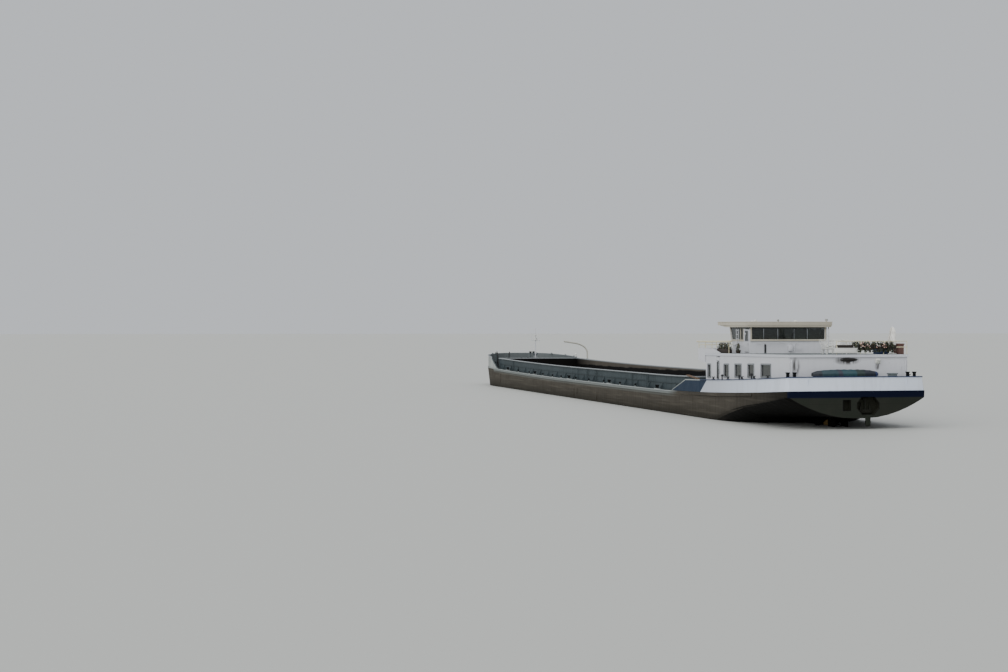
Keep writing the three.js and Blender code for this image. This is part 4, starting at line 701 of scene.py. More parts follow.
def flat_plate(corners, thick, rim=0.0, radius=0.06):
    """A flat plate through four corners, or the rectangle between two. A rim leaves a frame that wide."""
    if len(corners) == 2:
        low, high = corners
        along, up = [i for i in range(3) if low[i] != high[i]]
        near = [high[i] if i == along else low[i] for i in range(3)]
        far = [high[i] if i == up else low[i] for i in range(3)]
        corners = (low, near, high, far)
    only_selected()
    bpy.ops.mesh.primitive_plane_add(size=1)
    made = bpy.context.object
    for i, corner in zip((0, 1, 3, 2), corners):
        made.data.vertices[i].co = place(*corner)
    with edit_mode():
        if radius:
            bpy.ops.mesh.bevel(offset=radius / 10, segments=3, affect="VERTICES")
            bpy.ops.mesh.select_all(action="SELECT")
        if rim:
            bpy.ops.mesh.inset(thickness=rim / 10, depth=0)
            bpy.ops.mesh.delete(type="FACE")
    finished(made, "SOLIDIFY", thickness=thick / 10, offset=0)
    with edit_mode():
        bpy.ops.mesh.normals_make_consistent(inside=False)
    return made


# Drawn aluminium shows fine lines along its length; real ones under 1 mm are drawn 33 mm wide
aluminium = spotted("mill_finished_aluminium", 0.38, "#8c9094", "#a4a7aa", 1.0, 4, 0.15,
                    stretch=(3, 30, 30), Metallic=0.85)
# Float glass looks dark against the rooms behind, with dried salt in patches of 0.5 m
house_glass = spotted("grey_tinted_float_glass", 0.05, "#4a4f4b", "#575c58", 2.0, 4,
                      IOR=1.5, Transmission_Weight=0.85)
# Net is soft and pale; its threads 2 mm apart are drawn 35 mm apart to show
net, tree, shader, where = new_material("woven_polyester_net", 0.9, Sheen_Weight=0.3)
warp, weft = (add(tree, "TexWave", where, Scale=9, bands_direction=way) for way in "XZ")
toned(shader, add(tree, "Math", warp, weft, operation="MULTIPLY"), "#a8a69a", "#bfbdb2", 0.2, 0.0006)
SILL, HEAD = 3.81, 4.68


def window_corners(s0, s1, y, grow):
    """A side window's corners. Its sill and head climb a little towards the stern."""
    sill = [SILL + 0.027 * (15.8 - at) - grow for at in (s0, s1)]
    head = [HEAD + 0.02 * (15.8 - at) + grow for at in (s0, s1)]
    aft, fore = s0 - grow, s1 + grow
    return ((aft, y, sill[0]), (fore, y, sill[1]), (fore, y, head[1]), (aft, y, head[0]))


frames, panes = [], []
SIDE_WINDOWS = ((4.35, 5.95), (7.1, 8.15), (9.25, 10.4), (11.5, 12.4), (14.85, 15.45))
for s0, s1 in SIDE_WINDOWS:
    frames.append(flat_plate(window_corners(s0, s1, 3.86, 0.05), 0.03, rim=0.09))
    panes.append(flat_plate(window_corners(s0, s1, 3.79, -0.004), 0.012, radius=0.0))
frames += other_side(frames)
panes += other_side(panes)
for y0, y1 in ((-3.2, -2.0), (-1.5, -0.3), (0.3, 1.5), (2.0, 3.2)):
    frames.append(flat_plate([(15.81, y0 - 0.05, 3.76), (15.81, y1 + 0.05, 4.73)], 0.03, rim=0.09))
    panes.append(flat_plate([(15.74, y0 + 0.004, 3.814), (15.74, y1 - 0.004, 4.676)], 0.012, radius=0.0))
welded(frames, "house_window_frames", aluminium)
welded(panes, "house_window_panes", house_glass)

CURTAIN_FOLD, CURTAIN_PITCH, CURTAIN_HEIGHT, CURTAIN_FULLNESS, DRAWN_SHARE = 0.035, 0.14, 0.85, 1.55, 0.42
for side, side_name in ((1, "port"), (-1, "starboard")):
    for i, (s0, s1) in enumerate(SIDE_WINDOWS[:4]):
        wide = (s1 - s0) * DRAWN_SHARE
        across = 8 * round(wide / CURTAIN_PITCH)
        only_selected()
        bpy.ops.mesh.primitive_grid_add(x_subdivisions=across, y_subdivisions=6, size=1)
        drape = bpy.context.object
        low = 3.86 + 0.027 * (15.8 - s0)
        for vertex in drape.data.vertices:
            u, w = vertex.co.x + 0.5, vertex.co.y + 0.5
            fold = CURTAIN_FOLD * math.sin(2 * math.pi * u * wide / CURTAIN_PITCH) * (1.15 - 0.3 * w)
            height = low + w * (CURTAIN_HEIGHT - 0.03 * math.sin(9 * u))
            vertex.co = place(s0 + 0.02 + u * wide, side * (3.66 + fold), height)
        finished(drape, "SOLIDIFY", thickness=0.0003, offset=0)
        curtain = welded([drape], f"curtain_{side_name}_{i + 1}", net, crease=60)


# Side doors of the deckhouse
# Aluminium-faced doors with a tall pane, a lever handle and a grab rail. Each piece rides on its door.
def fit_doors(house, metal, glazing):
    """Welds the metal and the pane to a port door, and mirrored copies of them to the starboard door."""
    sets = {"port": (metal, glazing), "starboard": (other_side(metal), other_side(glazing))}
    for side, (fittings, pane) in sets.items():
        door = f"{house}_door_{side}"
        welded(fittings, f"{door}_furniture", aluminium, door)
        welded(pane, f"{door}_pane", house_glass, door)


metal = [flat_plate([(13.24, 3.868, 3.72), (13.7, 3.868, 4.98)], 0.014, rim=0.06, radius=0.04),
         rod((13.21, 3.86, 4.2), (13.21, 3.92, 4.2), 0.018),
         rod((13.2, 3.915, 4.2), (13.33, 3.915, 4.19), 0.013),
         block((13.185, 3.858, 4.06), (13.235, 3.872, 4.28), 0.006),
         pipe([(13.2, 3.86, 4.4), (13.2, 3.91, 4.42), (13.2, 3.91, 4.78), (13.2, 3.86, 4.8)], 0.011)]
pane = [flat_plate([(13.275, 3.835, 3.755), (13.665, 3.835, 4.945)], 0.012, radius=0.0)]
fit_doors("deckhouse", metal, pane)


# Aft wall of the deckhouse
# A flat lens-shaped exhaust outlet under its hood of sheet steel, a moulded deck lamp with a glass, a plain
# steel door near the starboard corner, a steel deck box and rainwater pipes, all screwed or welded on.
# Soot takes the light away and lies in clouds 0.2 m wide.
soot_black = spotted("sooted_sheet_steel", 0.8, "#0c0b0b", "#26221f", 5, 5, 0.3)
only_selected()
bpy.ops.mesh.primitive_uv_sphere_add(segments=28, ring_count=14, radius=1, location=(0, 0, 0))
hood = bpy.context.object
with edit_mode():
    bpy.ops.mesh.bisect(plane_co=(0, 0, 0), plane_no=(0, 0, 1), clear_inner=True, use_fill=True)
    bpy.ops.mesh.select_all(action="SELECT")
    bpy.ops.mesh.bisect(plane_co=(0, 0, 0), plane_no=(1, 0, 0), clear_outer=True, use_fill=True)
hood.data.transform(Matrix.Translation(place(1.505, 0.0, 5.24)) @ Matrix.Diagonal((0.013, 0.06, 0.01, 1)))
MOUTH = ((1.488, -0.56, 5.2), (1.488, 0.0, 5.1), (1.488, 0.62, 5.17), (1.488, 0.0, 5.28))
LIP = ((1.47, -0.6, 5.205), (1.47, 0.0, 5.08), (1.47, 0.66, 5.17), (1.47, 0.0, 5.3))
outlet = [hood, flat_plate(MOUTH, 0.03, radius=0.12), flat_plate(LIP, 0.016, rim=0.03, radius=0.12)]
welded(outlet, "exhaust_hood", soot_black)

# Moulded plastic is plain white and slightly dulled by the sun
white_moulding = weathered_paint(
    "moulded_white_polypropylene", "#cfcfca", "#a3a39c", 0.45, patch=0.2, streak=0.1)[0]
lamp_body = [block((1.34, -2.02, 4.98), (1.5, -1.7, 5.3), 0.05),
             rod((1.5, -1.86, 4.9), (1.42, -1.86, 5.02), 0.03)]
welded(lamp_body, "aft_wall_lamp", white_moulding)
# Pressed ribs make the glass look milky; the real 10 mm is drawn 50 mm apart
clear, tree, shader, where = new_material("pressed_lamp_glass", 0.08, Transmission_Weight=0.8)
toned(shader, add(tree, "TexWave", where, Scale=6, bands_direction="Y"), "#d9dcd8", "#eceee9", 0.4)
lamp_glass = block((1.325, -1.98, 5.0), (1.345, -1.74, 5.2), 0.008)
welded([lamp_glass], "aft_wall_lamp_glass", clear)

door = [flat_plate([(1.492, -3.42, 3.42), (1.492, -2.62, 5.1)], 0.03, rim=0.07),
        flat_plate([(1.485, -3.36, 3.48), (1.485, -2.68, 5.04)], 0.03, radius=0.08),
        rod((1.48, -2.78, 4.3), (1.42, -2.78, 4.3), 0.02),
        rod((1.425, -2.79, 4.3), (1.425, -2.92, 4.29), 0.014)]
door += turned(1.465, -3.4, (3.8, 3.98, 0.022), (4.65, 4.83, 0.022))
welded(door, "aft_steel_door", house_finish)
deck_box = [block((0.5, -2.69, 3.36), (0.95, -2.26, 4.38), 0.03),
            block((0.47, -2.73, 4.36), (0.98, -2.22, 4.43), 0.02),
            rod((0.49, -2.6, 4.2), (0.49, -2.35, 4.2), 0.015)]
welded(deck_box, "aft_deck_box", machine_finish)
down_pipes = [pipe([(1.46, y, 5.22), (1.44, y, 5.1), (1.44, y, 3.6), (1.36, y, 3.45)], 0.035)
              for y in (3.72, -3.72)]
welded(down_pipes, "rainwater_pipes", house_finish)


# Boat deck furniture
# A white moulded garden table with three chairs and a navy chest of glass fibre stand loose on the boat deck.
# The locker at the rail has a lid and a door of plate in red brown oil paint.
def roof_deck(s):
    """Top of the boat deck, which rises a little towards the stern."""
    return 5.44 + 0.007 * (15.8 - s) + 0.003


TABLE_S, CHAIR_S = 3.4, 4.53
table = [flat_plate([(2.98, -0.74, 5.9), (3.82, 0.84, 5.9)], 0.045, radius=0.16),
         flat_plate([(3.02, -0.7, 5.86), (3.78, 0.8, 5.86)], 0.05, rim=0.03, radius=0.14)]
table += [rod((s, y, roof_deck(s)), (s + (TABLE_S - s) * 0.12, y * 0.93, 5.88), 0.028, tip=0.038)
          for s in (3.1, 3.7) for y in (-0.6, 0.7)]
garden_table = welded(table, "garden_table", white_moulding)
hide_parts("boat_deck_table")

foot_z = roof_deck(4.5)
seat_z, back_z = foot_z + 0.42, foot_z + 0.84
chair = [flat_plate([(4.3, -0.24, seat_z), (4.76, -0.21, seat_z - 0.03), (4.76, 0.21, seat_z - 0.03),
                     (4.3, 0.24, seat_z)], 0.03, radius=0.08)]
chair += [rod((s, y, foot_z), (s + (CHAIR_S - s) * 0.2, y * 0.85, seat_z), 0.02, tip=0.028)
          for s in (4.28, 4.8) for y in (-0.25, 0.25)]
for k in range(4):
    s, y0, y1 = 4.77 + 0.02 * k, -0.21 + 0.105 * k, -0.15 + 0.105 * k
    slat = ((s, y0, seat_z), (s, y1, seat_z), (4.92, y1, back_z), (4.92, y0, back_z))
    chair.append(flat_plate(slat, 0.018, radius=0.0))
BACK_TUBE = ((4.74, 0.25, -0.02), (4.93, 0.24, 0.44), (4.93, 0, 0.47))
ARM_TUBE = ((4.3, 0.26, -0.02), (4.32, 0.27, 0.2), (4.6, 0.27, 0.22), (4.86, 0.25, 0.2))
chair += [pipe([(s, y * k, seat_z + up) for s, y, up in tube], 0.02) for tube in (BACK_TUBE, ARM_TUBE)
          for k in (-1, 1)]
only_selected(*chair)
bpy.ops.object.join()
chair = bpy.context.object
for i, (s, y, turn) in enumerate(((8.9, -1.9, 0.2), (9.2, -2.75, -0.35), (8.3, -3.1, 2.2))):
    seat = shifted(chair)
    seat.data.transform(Matrix.Translation(place(s, y, roof_deck(s) - foot_z)) @ Matrix.Rotation(turn, 4, "Z")
                        @ Matrix.Translation(-place(4.55, 0, 0)))
    welded([seat], f"garden_chair_{i + 1}", white_moulding)
bpy.data.objects.remove(chair)

foot_z = roof_deck(2.9)
chest = [block((2.9, -3.36, foot_z), (3.9, -2.74, foot_z + 0.26), 0.04),
         block((2.86, -3.4, foot_z + 0.24), (3.94, -2.7, foot_z + 0.34), 0.04),
         block((3.3, -2.71, foot_z + 0.18), (3.4, -2.68, foot_z + 0.3))]
welded(chest, "deck_chest", cap_finish)
red_paint = weathered_paint("faded_red_brown_oil_paint", "#62443d", "#3a2a26", 0.5, patch=0.4, streak=0.2)[0]
lid = [block((1.86, -3.86, 6.12), (2.54, -3.43, 6.2), 0.02),
       block((1.88, -3.475, 5.52), (2.52, -3.455, 6.12), 0.006),
       block((2.14, -3.46, 5.96), (2.26, -3.44, 6.06), 0.006)]
welded(lid, "locker_doors", red_paint)


# Troughs and plants of the boat deck
# Moulded brown troughs and one white one hold evergreen plants with pale flowers at the rails; another trough
# and a pot stand by the port edge. The plants are clumps of small leaves, each a flattened cone.
clay = weathered_paint("moulded_brown_trough", "#2b231e", "#1b1613", 0.7, patch=0.4, streak=0.1)[0]
# Waxy leaves shine a little; light and dark ones change every 0.2 m
leaf_green, tree, shader, where = new_material("waxy_leaf", 0.5, Subsurface_Weight=0.05)
leaf_tone = add(tree, "MapRange", add(tree, "TexNoise", where, Scale=6, Detail=3), 0.4, 0.6)
toned(shader, leaf_tone, "#141a13", "#3b422d")
troughs, plants = [], []
random.seed(11)
only_selected()
bpy.ops.mesh.primitive_cone_add(vertices=5, radius1=0.0042, radius2=0.0, depth=0.016, location=(0, 0, 0.008))
leaf = bpy.context.object
bpy.ops.object.transform_apply(location=True, rotation=True, scale=True)
leaf.data.transform(Matrix.Diagonal((1, 0.35, 1, 1)))
LEAVES_IN_CLUMP, PORT_TROUGH_Z = 38, roof_deck(12)
ROWS = ((9, 0, 0.3, (1.62, -2.85, 6.08, 0.2)), (9, 0, 0.3, (1.43, -2.85, 5.66, 0.38)),
        (13, 0.5, 0, (2.9, -3.74, 5.88, 0.26)), (7, 0.3, 0, (12.0, 3.62, PORT_TROUGH_Z + 0.25, 0.4)),
        (2, 0, 0, (10.7, 3.5, roof_deck(11) + 0.1, 0.5)))
clumps = [(s + ds * i, y + dy * i, z, tall) for count, ds, dy, (s, y, z, tall) in ROWS for i in range(count)]
for s, y, z, tall in clumps:
    for k in range(LEAVES_IN_CLUMP):
        turn = Matrix.Rotation(random.uniform(0, 6.28), 4, "Z")
        turn = turn @ Matrix.Rotation(random.uniform(0.1, 1.1), 4, "X")
        root = place(s + random.gauss(0, 0.09), y + random.gauss(0, 0.05), z + tall * random.random() ** 1.6)
        blade = shifted(leaf)
        blade.data.transform(Matrix.Translation(root) @ turn @ Matrix.Scale(random.uniform(0.6, 1.15), 4))
        plants.append(blade)
    plants.append(rod((s, y, z), (s + random.gauss(0, 0.04), y, z + tall + 0.04), 0.008, sides=5))
bpy.data.objects.remove(leaf)
for s in (2.75, 4.9, 7.05):
    foot_z = roof_deck(s)
    troughs.append(block((s, -3.83, foot_z + 0.22), (s + 1.9, -3.64, foot_z + 0.42), 0.02))
    for k in (s + 0.4, s + 1.5):
        hook = [(k, -3.64, foot_z + 0.4), (k, -3.82, foot_z + 0.46), (k, -3.83, foot_z + 0.3)]
        troughs.append(pipe(hook, 0.01))
troughs.append(block((11.85, 3.48, PORT_TROUGH_Z), (14.0, 3.76, PORT_TROUGH_Z + 0.28), 0.03))
troughs += turned(10.7, 3.5, (roof_deck(11), roof_deck(11) + 0.22, 0.13, 0.17, 20))
welded(troughs, "flower_troughs", clay)
welded(plants, "boat_deck_plants", leaf_green, crease=50)
# Petals let some light through; white and pink ones change every metre
petals, tree, shader, where = new_material("pale_flower_petals", 0.6, Subsurface_Weight=0.1)
petal_tone = add(tree, "MapRange", add(tree, "TexNoise", where, Scale=1.1, Detail=1), 0.45, 0.55)
toned(shader, petal_tone, "#d8cfc4", "#c99a8d")
blooms = []
for i in range(34):
    s = 1.4 + random.gauss(0, 0.05)
    y = random.choice((-0.75, -1.2, -1.9, -2.25)) + random.gauss(0, 0.12)
    z = random.uniform(5.95, 6.33)
    blooms.append(rod((s - 0.03, y, z - 0.01), (s - 0.05, y, z), 0.012, tip=0.032, sides=7))
welded(blooms, "boat_deck_flowers", petals, crease=60)
white_box = [block((1.31, -0.5, 5.62), (1.46, 1.0, 5.92), 0.05),
             block((1.29, -0.53, 5.88), (1.475, 1.03, 5.94), 0.02)]
white_box += [pipe([(1.4, y, 5.9), (1.44, y, 6.02), (1.5, y, 6.05)], 0.012) for y in (0.8, -0.3)]
welded(white_box, "white_rail_trough", white_moulding)


# Hand rails of the balcony
# A round wooden hand rail in cream paint runs along the top of the balcony's railing and on along the port
# edge of the boat deck, where a slim post of its own carries it.
RAIL_Y, RAIL_Z = 3.86, 6.215
BALCONY = ((14.6, RAIL_Y), (17.6, RAIL_Y), (17.6, -RAIL_Y), (14.6, -RAIL_Y))
hand_rail = [pipe([(s, y, RAIL_Z) for s, y in BALCONY], 0.045, bent=False),
             rod((11.4, RAIL_Y, RAIL_Z + 0.03), (14.62, RAIL_Y, RAIL_Z), 0.042)]
hand_rail += turned(11.45, RAIL_Y, (roof_deck(11.45), 6.22, 0.018))
welded(hand_rail, "cream_hand_rails", rail_finish)


# Wheelhouse trim
# Slim aluminium glazing bars, a cream sill and corner posts, wipers on black arms, a louvred vent, a junction
# box with its pipes on the aft wall, a slender pipe post at the starboard corner and a rung ladder to port.
def on_front(z, y=0.0, off=0.0):
    """A point on the wheelhouse's front, which leans out from its foot, or so far ahead of it."""
    return 13.57 + 0.38 * (z - 5.459) + off, y, z


sill = [block((10.62, -2.68, 6.28), (10.7, 2.68, 6.4), 0.02)]
sill += [block((10.655, y - 0.05, 6.4), (10.7, y + 0.05, 7.2), 0.01) for y in (-2.62, 2.62)]
sides = [flat_bar([(11.7, 2.73, 6.32), on_front(6.32, 2.73, -0.02)], 0.04, 0.12)]
post = [on_front(z, 2.735, off) for z, off in ((6.4, -0.1), (6.4, 0), (7.18, 0), (7.18, -0.1))]
sides.append(flat_plate(post, 0.03, radius=0.01))
sides += [block((s - 0.025, 2.705, 6.38), (s + 0.025, 2.745, 7.1), 0.004) for s in (11.76, 12.25)]
welded(sill + sides + other_side(sides), "wheelhouse_sill_and_posts", roof_finish)
bars = [block((10.675, y - 0.018, 6.4), (10.703, y + 0.018, 7.1), 0.004) for y in (1.74, 0.75, -0.4, -1.33)]
bars += [rod(on_front(6.36, y, 0.015), on_front(7.04, y, 0.015), 0.025, sides=6) for y in (-0.9, 0.9)]
welded(bars, "wheelhouse_glazing_bars", aluminium)

# Rubber and coated steel are dull black; specks of 4 mm are drawn 40 mm wide to show
wiper_black = spotted("black_rubber_and_coated_steel", 0.55, "#121314", "#242526", 25, 3, 0.2, 0.0006)
wipers = [rod((10.66, -0.47, 7.13), (10.66, -0.33, 6.62), 0.012, sides=8),
          rod((10.67, -0.36, 6.84), (10.67, -0.26, 6.42), 0.014, sides=8),
          rod((10.69, -0.47, 7.13), (10.64, -0.47, 7.13), 0.03)]
for y in (-1.7, 0.0, 1.7):
    wipers += [rod(on_front(6.34, y, 0.03), on_front(6.8, y + 0.3, 0.03), 0.012, sides=8),
               rod(on_front(6.5, y + 0.1, 0.025), on_front(6.98, y + 0.42, 0.025), 0.014, sides=8),
               rod(on_front(6.33, y), on_front(6.33, y, 0.06), 0.03)]
wipers.append(block((10.66, 1.57, 5.5), (10.7, 1.69, 6.08)))
wipers += [block((10.64, 1.575, z), (10.67, 1.685, z + 0.04), 0.004)
           for z in (5.56, 5.64, 5.72, 5.8, 5.88, 5.96)]
welded(wipers, "wheelhouse_wipers_and_vent", wiper_black)

fittings = [block((10.55, -0.26, 5.62), (10.7, 0.02, 6.0), 0.03),
            block((10.5, -2.83, 6.6), (10.62, -2.72, 6.66)),
            pipe([(10.65, -0.4, 5.47), (10.62, -0.4, 5.7), (10.62, -0.46, 6.1), (10.6, -0.6, 6.2)], 0.02),
            rod((10.7, -0.66, 5.82), (10.5, -0.66, 5.82), 0.03),
            rod((10.56, -0.66, 5.82), (10.44, -0.66, 5.82), 0.06, 0.12),
            pipe([(10.62, 2.3, 6.12), (10.56, 2.25, 6.14), (10.56, 0.3, 6.14), (10.62, 0.25, 6.12)], 0.018)]
fittings += turned(10.6, -0.12, (5.99, 6.24, 0.02)) + turned(10.55, -2.78, (roof_deck(10.5), 7.24, 0.03))
fittings += ladder(12.6, 2.83, roof_deck(12.6), 7.2, 0.36, 0.27)
hand = [pipe([(11.75, 2.76, 5.98), (11.8, 2.82, 6.0), (13.4, 2.82, 6.0), (13.45, 2.76, 5.98)], 0.018)]
welded(fittings + hand + other_side(hand), "wheelhouse_wall_fittings", house_finish)

metal = [flat_plate([(10.89, 2.738, 6.27), (11.47, 2.738, 6.98)], 0.014, rim=0.05),
         rod((10.88, 2.73, 6.1), (10.88, 2.785, 6.1), 0.016),
         rod((10.87, 2.78, 6.1), (10.99, 2.78, 6.09), 0.012)]
pane = [flat_plate([(10.925, 2.705, 6.305), (11.435, 2.705, 6.945)], 0.012, radius=0.0)]
fit_doors("wheelhouse", metal, pane)


# Wheelhouse roof gear
# An upright rim with a rolled edge round the roof's edge, lamp glasses on the two lamps, a mushroom vent, a
# searchlight at the fore edge, a satellite dome and two short whips.
ROOF_TOP = 7.49
gutter = [block((10.365, -2.96, 7.29), (10.395, 2.96, 7.55), 0.008),
          block((15.855, -2.96, 7.38), (15.885, 2.96, 7.54), 0.008)]
gutter += [flat_bar([(10.38, y, 7.42), (15.5, y, 7.45), (15.88, y, 7.44)], 0.03, 0.24) for y in (-2.95, 2.95)]
rolled_edge = ((10.37, -2.97, 7.54), (10.37, 2.97, 7.54), (15.88, 2.97, 7.55), (15.88, -2.97, 7.55))
gutter.append(pipe(rolled_edge, 0.025, bent=False, closed=True))
welded(gutter, "roof_gutter", roof_finish)
roof_gear = [rod((14.99, 0.5, 7.62), (15.2, 0.5, 7.62), 0.07, 0.1)]
roof_gear += turned(12.3, -1.2, (ROOF_TOP, 7.6, 0.09), (7.58, 7.66, 0.17, 0.06))
roof_gear += turned(13.3, 1.5, (ROOF_TOP, 7.56, 0.04), (7.55, 7.64, 0.11, 0.05))
roof_gear += turned(15.1, 0.5, (ROOF_TOP, 7.6, 0.025))
for s, y in ((14.0, -1.9), (11.6, -0.55)):
    roof_gear += turned(s, y, (ROOF_TOP, 7.72, 0.012, None, 6))
welded(roof_gear, "roof_gear", white_moulding)
lamp_tops = turned(10.7, -2.7, (7.62, 7.735, 0.094, 0.09)) + turned(11.0, 0.6, (7.6, 7.705, 0.074))
welded(lamp_tops, "roof_lamp_glasses", clear)


# Helm
# The helm chair has a turned column on a disc, arm rests, and a padded seat and back in black synthetic
# leather. The console carries two screens, a small wheel and a pair of levers.
def pad(low, high, name):
    """A stuffed pad: a block whose sides are subdivided and rounded until it is crowned."""
    stuffed = block(low, high, 0.03)
    finished(stuffed, "SUBSURF", levels=2, render_levels=2)
    welded([stuffed], name, chair_finish)


CHAIR_AT = 11.9
floor_z = roof_deck(CHAIR_AT)
helm_frame = turned(CHAIR_AT, 0, (floor_z + 0.012, floor_z + 0.06, 0.25, None, 24),
                    (floor_z + 0.05, 5.83, 0.055))
helm_frame.append(block((11.7, -0.2, 5.8), (12.1, 0.2, 5.84)))
helm_frame += [pipe([(11.72, y, 5.95), (11.72, y, 6.18), (12.05, y, 6.18)], 0.03) for y in (0.27, -0.27)]
helm_frame = welded(helm_frame, "helm_chair_frame", wiper_black)
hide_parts("helm_chair")
pad((11.64, -0.27, 5.82), (12.16, 0.27, 5.97), "helm_chair_seat_pad")
pad((11.6, -0.26, 5.93), (11.76, 0.26, 6.62), "helm_chair_back_pad")
helm = [block((12.88, y - 0.22, 6.22), (12.93, y + 0.22, 6.5)) for y in (-0.62, 0.62)]
helm += [rod((12.6, y, 6.08), (12.56, y, 6.26), 0.015, 0.025) for y in (-0.3, 0.3)]
helm.append(rod((12.5, 0, 6.1), (12.58, 0, 6.12), 0.03))
only_selected()
bpy.ops.mesh.primitive_torus_add(major_radius=0.022, minor_radius=0.0018, major_segments=28, minor_segments=8,
                                 location=place(12.48, 0, 6.1), rotation=(0, math.pi / 2, 0))
bpy.ops.object.transform_apply(location=True, rotation=True, scale=True)
helm.append(bpy.context.object)
welded(helm, "helm_screens_and_wheel", wiper_black)


# Foredeck gear
# Two black horns for the mooring lines, a vent with a white head, chain from the windlass down to the hawse,
# dogs on the hatch, and a chain stopper each side. All are of steel, welded or bolted to the deck.
HORN_S, HORN_Y, STOPPER_S, CHAIN_LINKS = 78.19, 3.93, 82.05, 9
necks = [rod((HORN_S, HORN_Y, deck(HORN_S)), (HORN_S, 3.98, 4.3), 0.07, 0.075),
         pipe([(HORN_S, 3.97, 4.2), (HORN_S, 3.99, 4.38), (HORN_S, 4.03, 4.55)], 0.06),
         rod((HORN_S, 4.03, 4.52), (HORN_S, 4.06, 4.74), 0.05, 0.015),
         rod((81.0, 2.07, 4.26), (81.0, 2.02, 4.6), 0.075, 0.04)]
necks += turned(HORN_S, HORN_Y, (deck(HORN_S), deck(HORN_S) + 0.06, 0.12))
necks += turned(81.0, 2.07, (deck(81), 4.3, 0.05), (deck(81), deck(81) + 0.06, 0.1))
welded(necks, "foredeck_horns", black_finish)
vent_head = turned(77.42, -4.35, (4.12, 4.36, 0.1), (4.35, 4.46, 0.13, 0.06))
welded(vent_head, "foredeck_vent_head", white_moulding)

only_selected()
bpy.ops.mesh.primitive_torus_add(major_radius=0.006, minor_radius=0.0017, major_segments=14, minor_segments=6)
link = bpy.context.object
link.data.transform(Matrix.Diagonal((1.4, 1, 1, 1)))
chain = []
for side in (-1, 1):
    a, b = place(81.22, 0.42 * side, 3.72), place(82.0, 0.8 * side, 3.12)
    along = (b - a).to_track_quat("X", "Z").to_matrix().to_4x4()
    for i in range(CHAIN_LINKS):
        middle = Matrix.Translation(a.lerp(b, (i + 0.5) / CHAIN_LINKS))
        chain.append(shifted(link))
        chain[-1].data.transform(middle @ along @ Matrix.Rotation(math.pi / 2 * (i % 2), 4, "X"))
bpy.data.objects.remove(link)
for side in (-1, 1):
    chain += turned(STOPPER_S, 0.82 * side, (deck(82), deck(82) + 0.1, 0.16, 0.12))
welded(chain, "anchor_chains", steel_finish)
dogs = []
for s in (82.25, 82.85):
    for y in (0.5, -0.5):
        dogs += turned(s, y, (3.44, 3.5, 0.03)) + [rod((s, y * 1.02, 3.47), (s, y * 1.3, 3.47), 0.02)]
welded(dogs, "hatch_dogs", steel_finish)


# Foremast fittings
# Two lamps with their glasses in white moulded housings, and one on the steel pole that carries the mast up
# to seven metres. A thinner pole and a block sit at the yard's ends. All are screwed on and fold with it.
MAST_S, LOWER_LAMP_S, UPPER_LAMP_S = 77.7, 77.57, 77.66
mast_bits = turned(MAST_S, 0, (6.55, 7.06, 0.03, 0.015)) + turned(MAST_S, 0.42, (5.86, 6.6, 0.014, None, 6))
mast_bits += [rod((77.58, 0, 6.5), (77.82, 0, 6.5), 0.02), block((77.66, -0.47, 5.8), (77.74, -0.41, 5.9))]
welded(mast_bits, "foremast_fittings", house_finish, "foremast")
housings = turned(LOWER_LAMP_S, 0, (5.86, 6.02, 0.13, None, 20), (6.1, 6.16, 0.14, 0.06, 20))
housings += turned(UPPER_LAMP_S, 0, (6.26, 6.34, 0.09, None, 16), (6.42, 6.47, 0.1, 0.04, 16))
welded(housings, "foremast_lamp_housings", white_moulding, "foremast")
mast_lamp = turned(LOWER_LAMP_S, 0, (6.01, 6.11, 0.115, None, 16))
mast_lamp += turned(UPPER_LAMP_S, 0, (6.33, 6.43, 0.08, None, 16)) + turned(MAST_S, 0, (7.03, 7.08, 0.03))
welded(mast_lamp, "foremast_lamp_glass", clear, "foremast")


# Tender and its cover
# A four metre dinghy of navy glass fibre stands across the stern on two chocks. Its cover is a coated
# polyester tarpaulin in teal and navy panels, pulled over the gunwale and lashed.
def fullness(k):
    """How full the tender is at a share of its half length, from its middle to its ends."""
    return math.sqrt(max(0.02, 1 - abs(k) ** 3))


TENDER_S, TENDER_Y, TENDER_HALF, GUNWALE, COVER_FOOT, CROWN_SHARE = 0.97, 0.5, 2.1, 4.41, 4.425, 0.74
only_selected()
bpy.ops.mesh.primitive_uv_sphere_add(segments=40, ring_count=20, radius=1, rotation=(math.pi / 2, 0, 0))
boat = bpy.context.object
bpy.ops.object.transform_apply(location=True, rotation=True, scale=True)
for vertex in boat.data.vertices:
    k = vertex.co.y
    round_off = max(1e-6, math.sqrt(max(0.0, 1 - k * k)))
    full, is_end = fullness(k), abs(k) > 0.999
    across, up = (max(-1, min(1, part / round_off)) for part in (vertex.co.x, vertex.co.z))
    deep = 0.0 if is_end else 0.44 * (0.35 + 0.65 * full)
    across = 0.0 if is_end else math.copysign(abs(across) ** 0.6, across)
    rise = GUNWALE + (0.02 * up if up > 0 else deep * math.copysign(abs(up) ** 0.7, up))
    vertex.co = place(TENDER_S + 0.405 * full * across, TENDER_Y + 0.99 * k * TENDER_HALF, rise)
tender_hull = welded([boat], "tender_hull", cap_finish, crease=50)

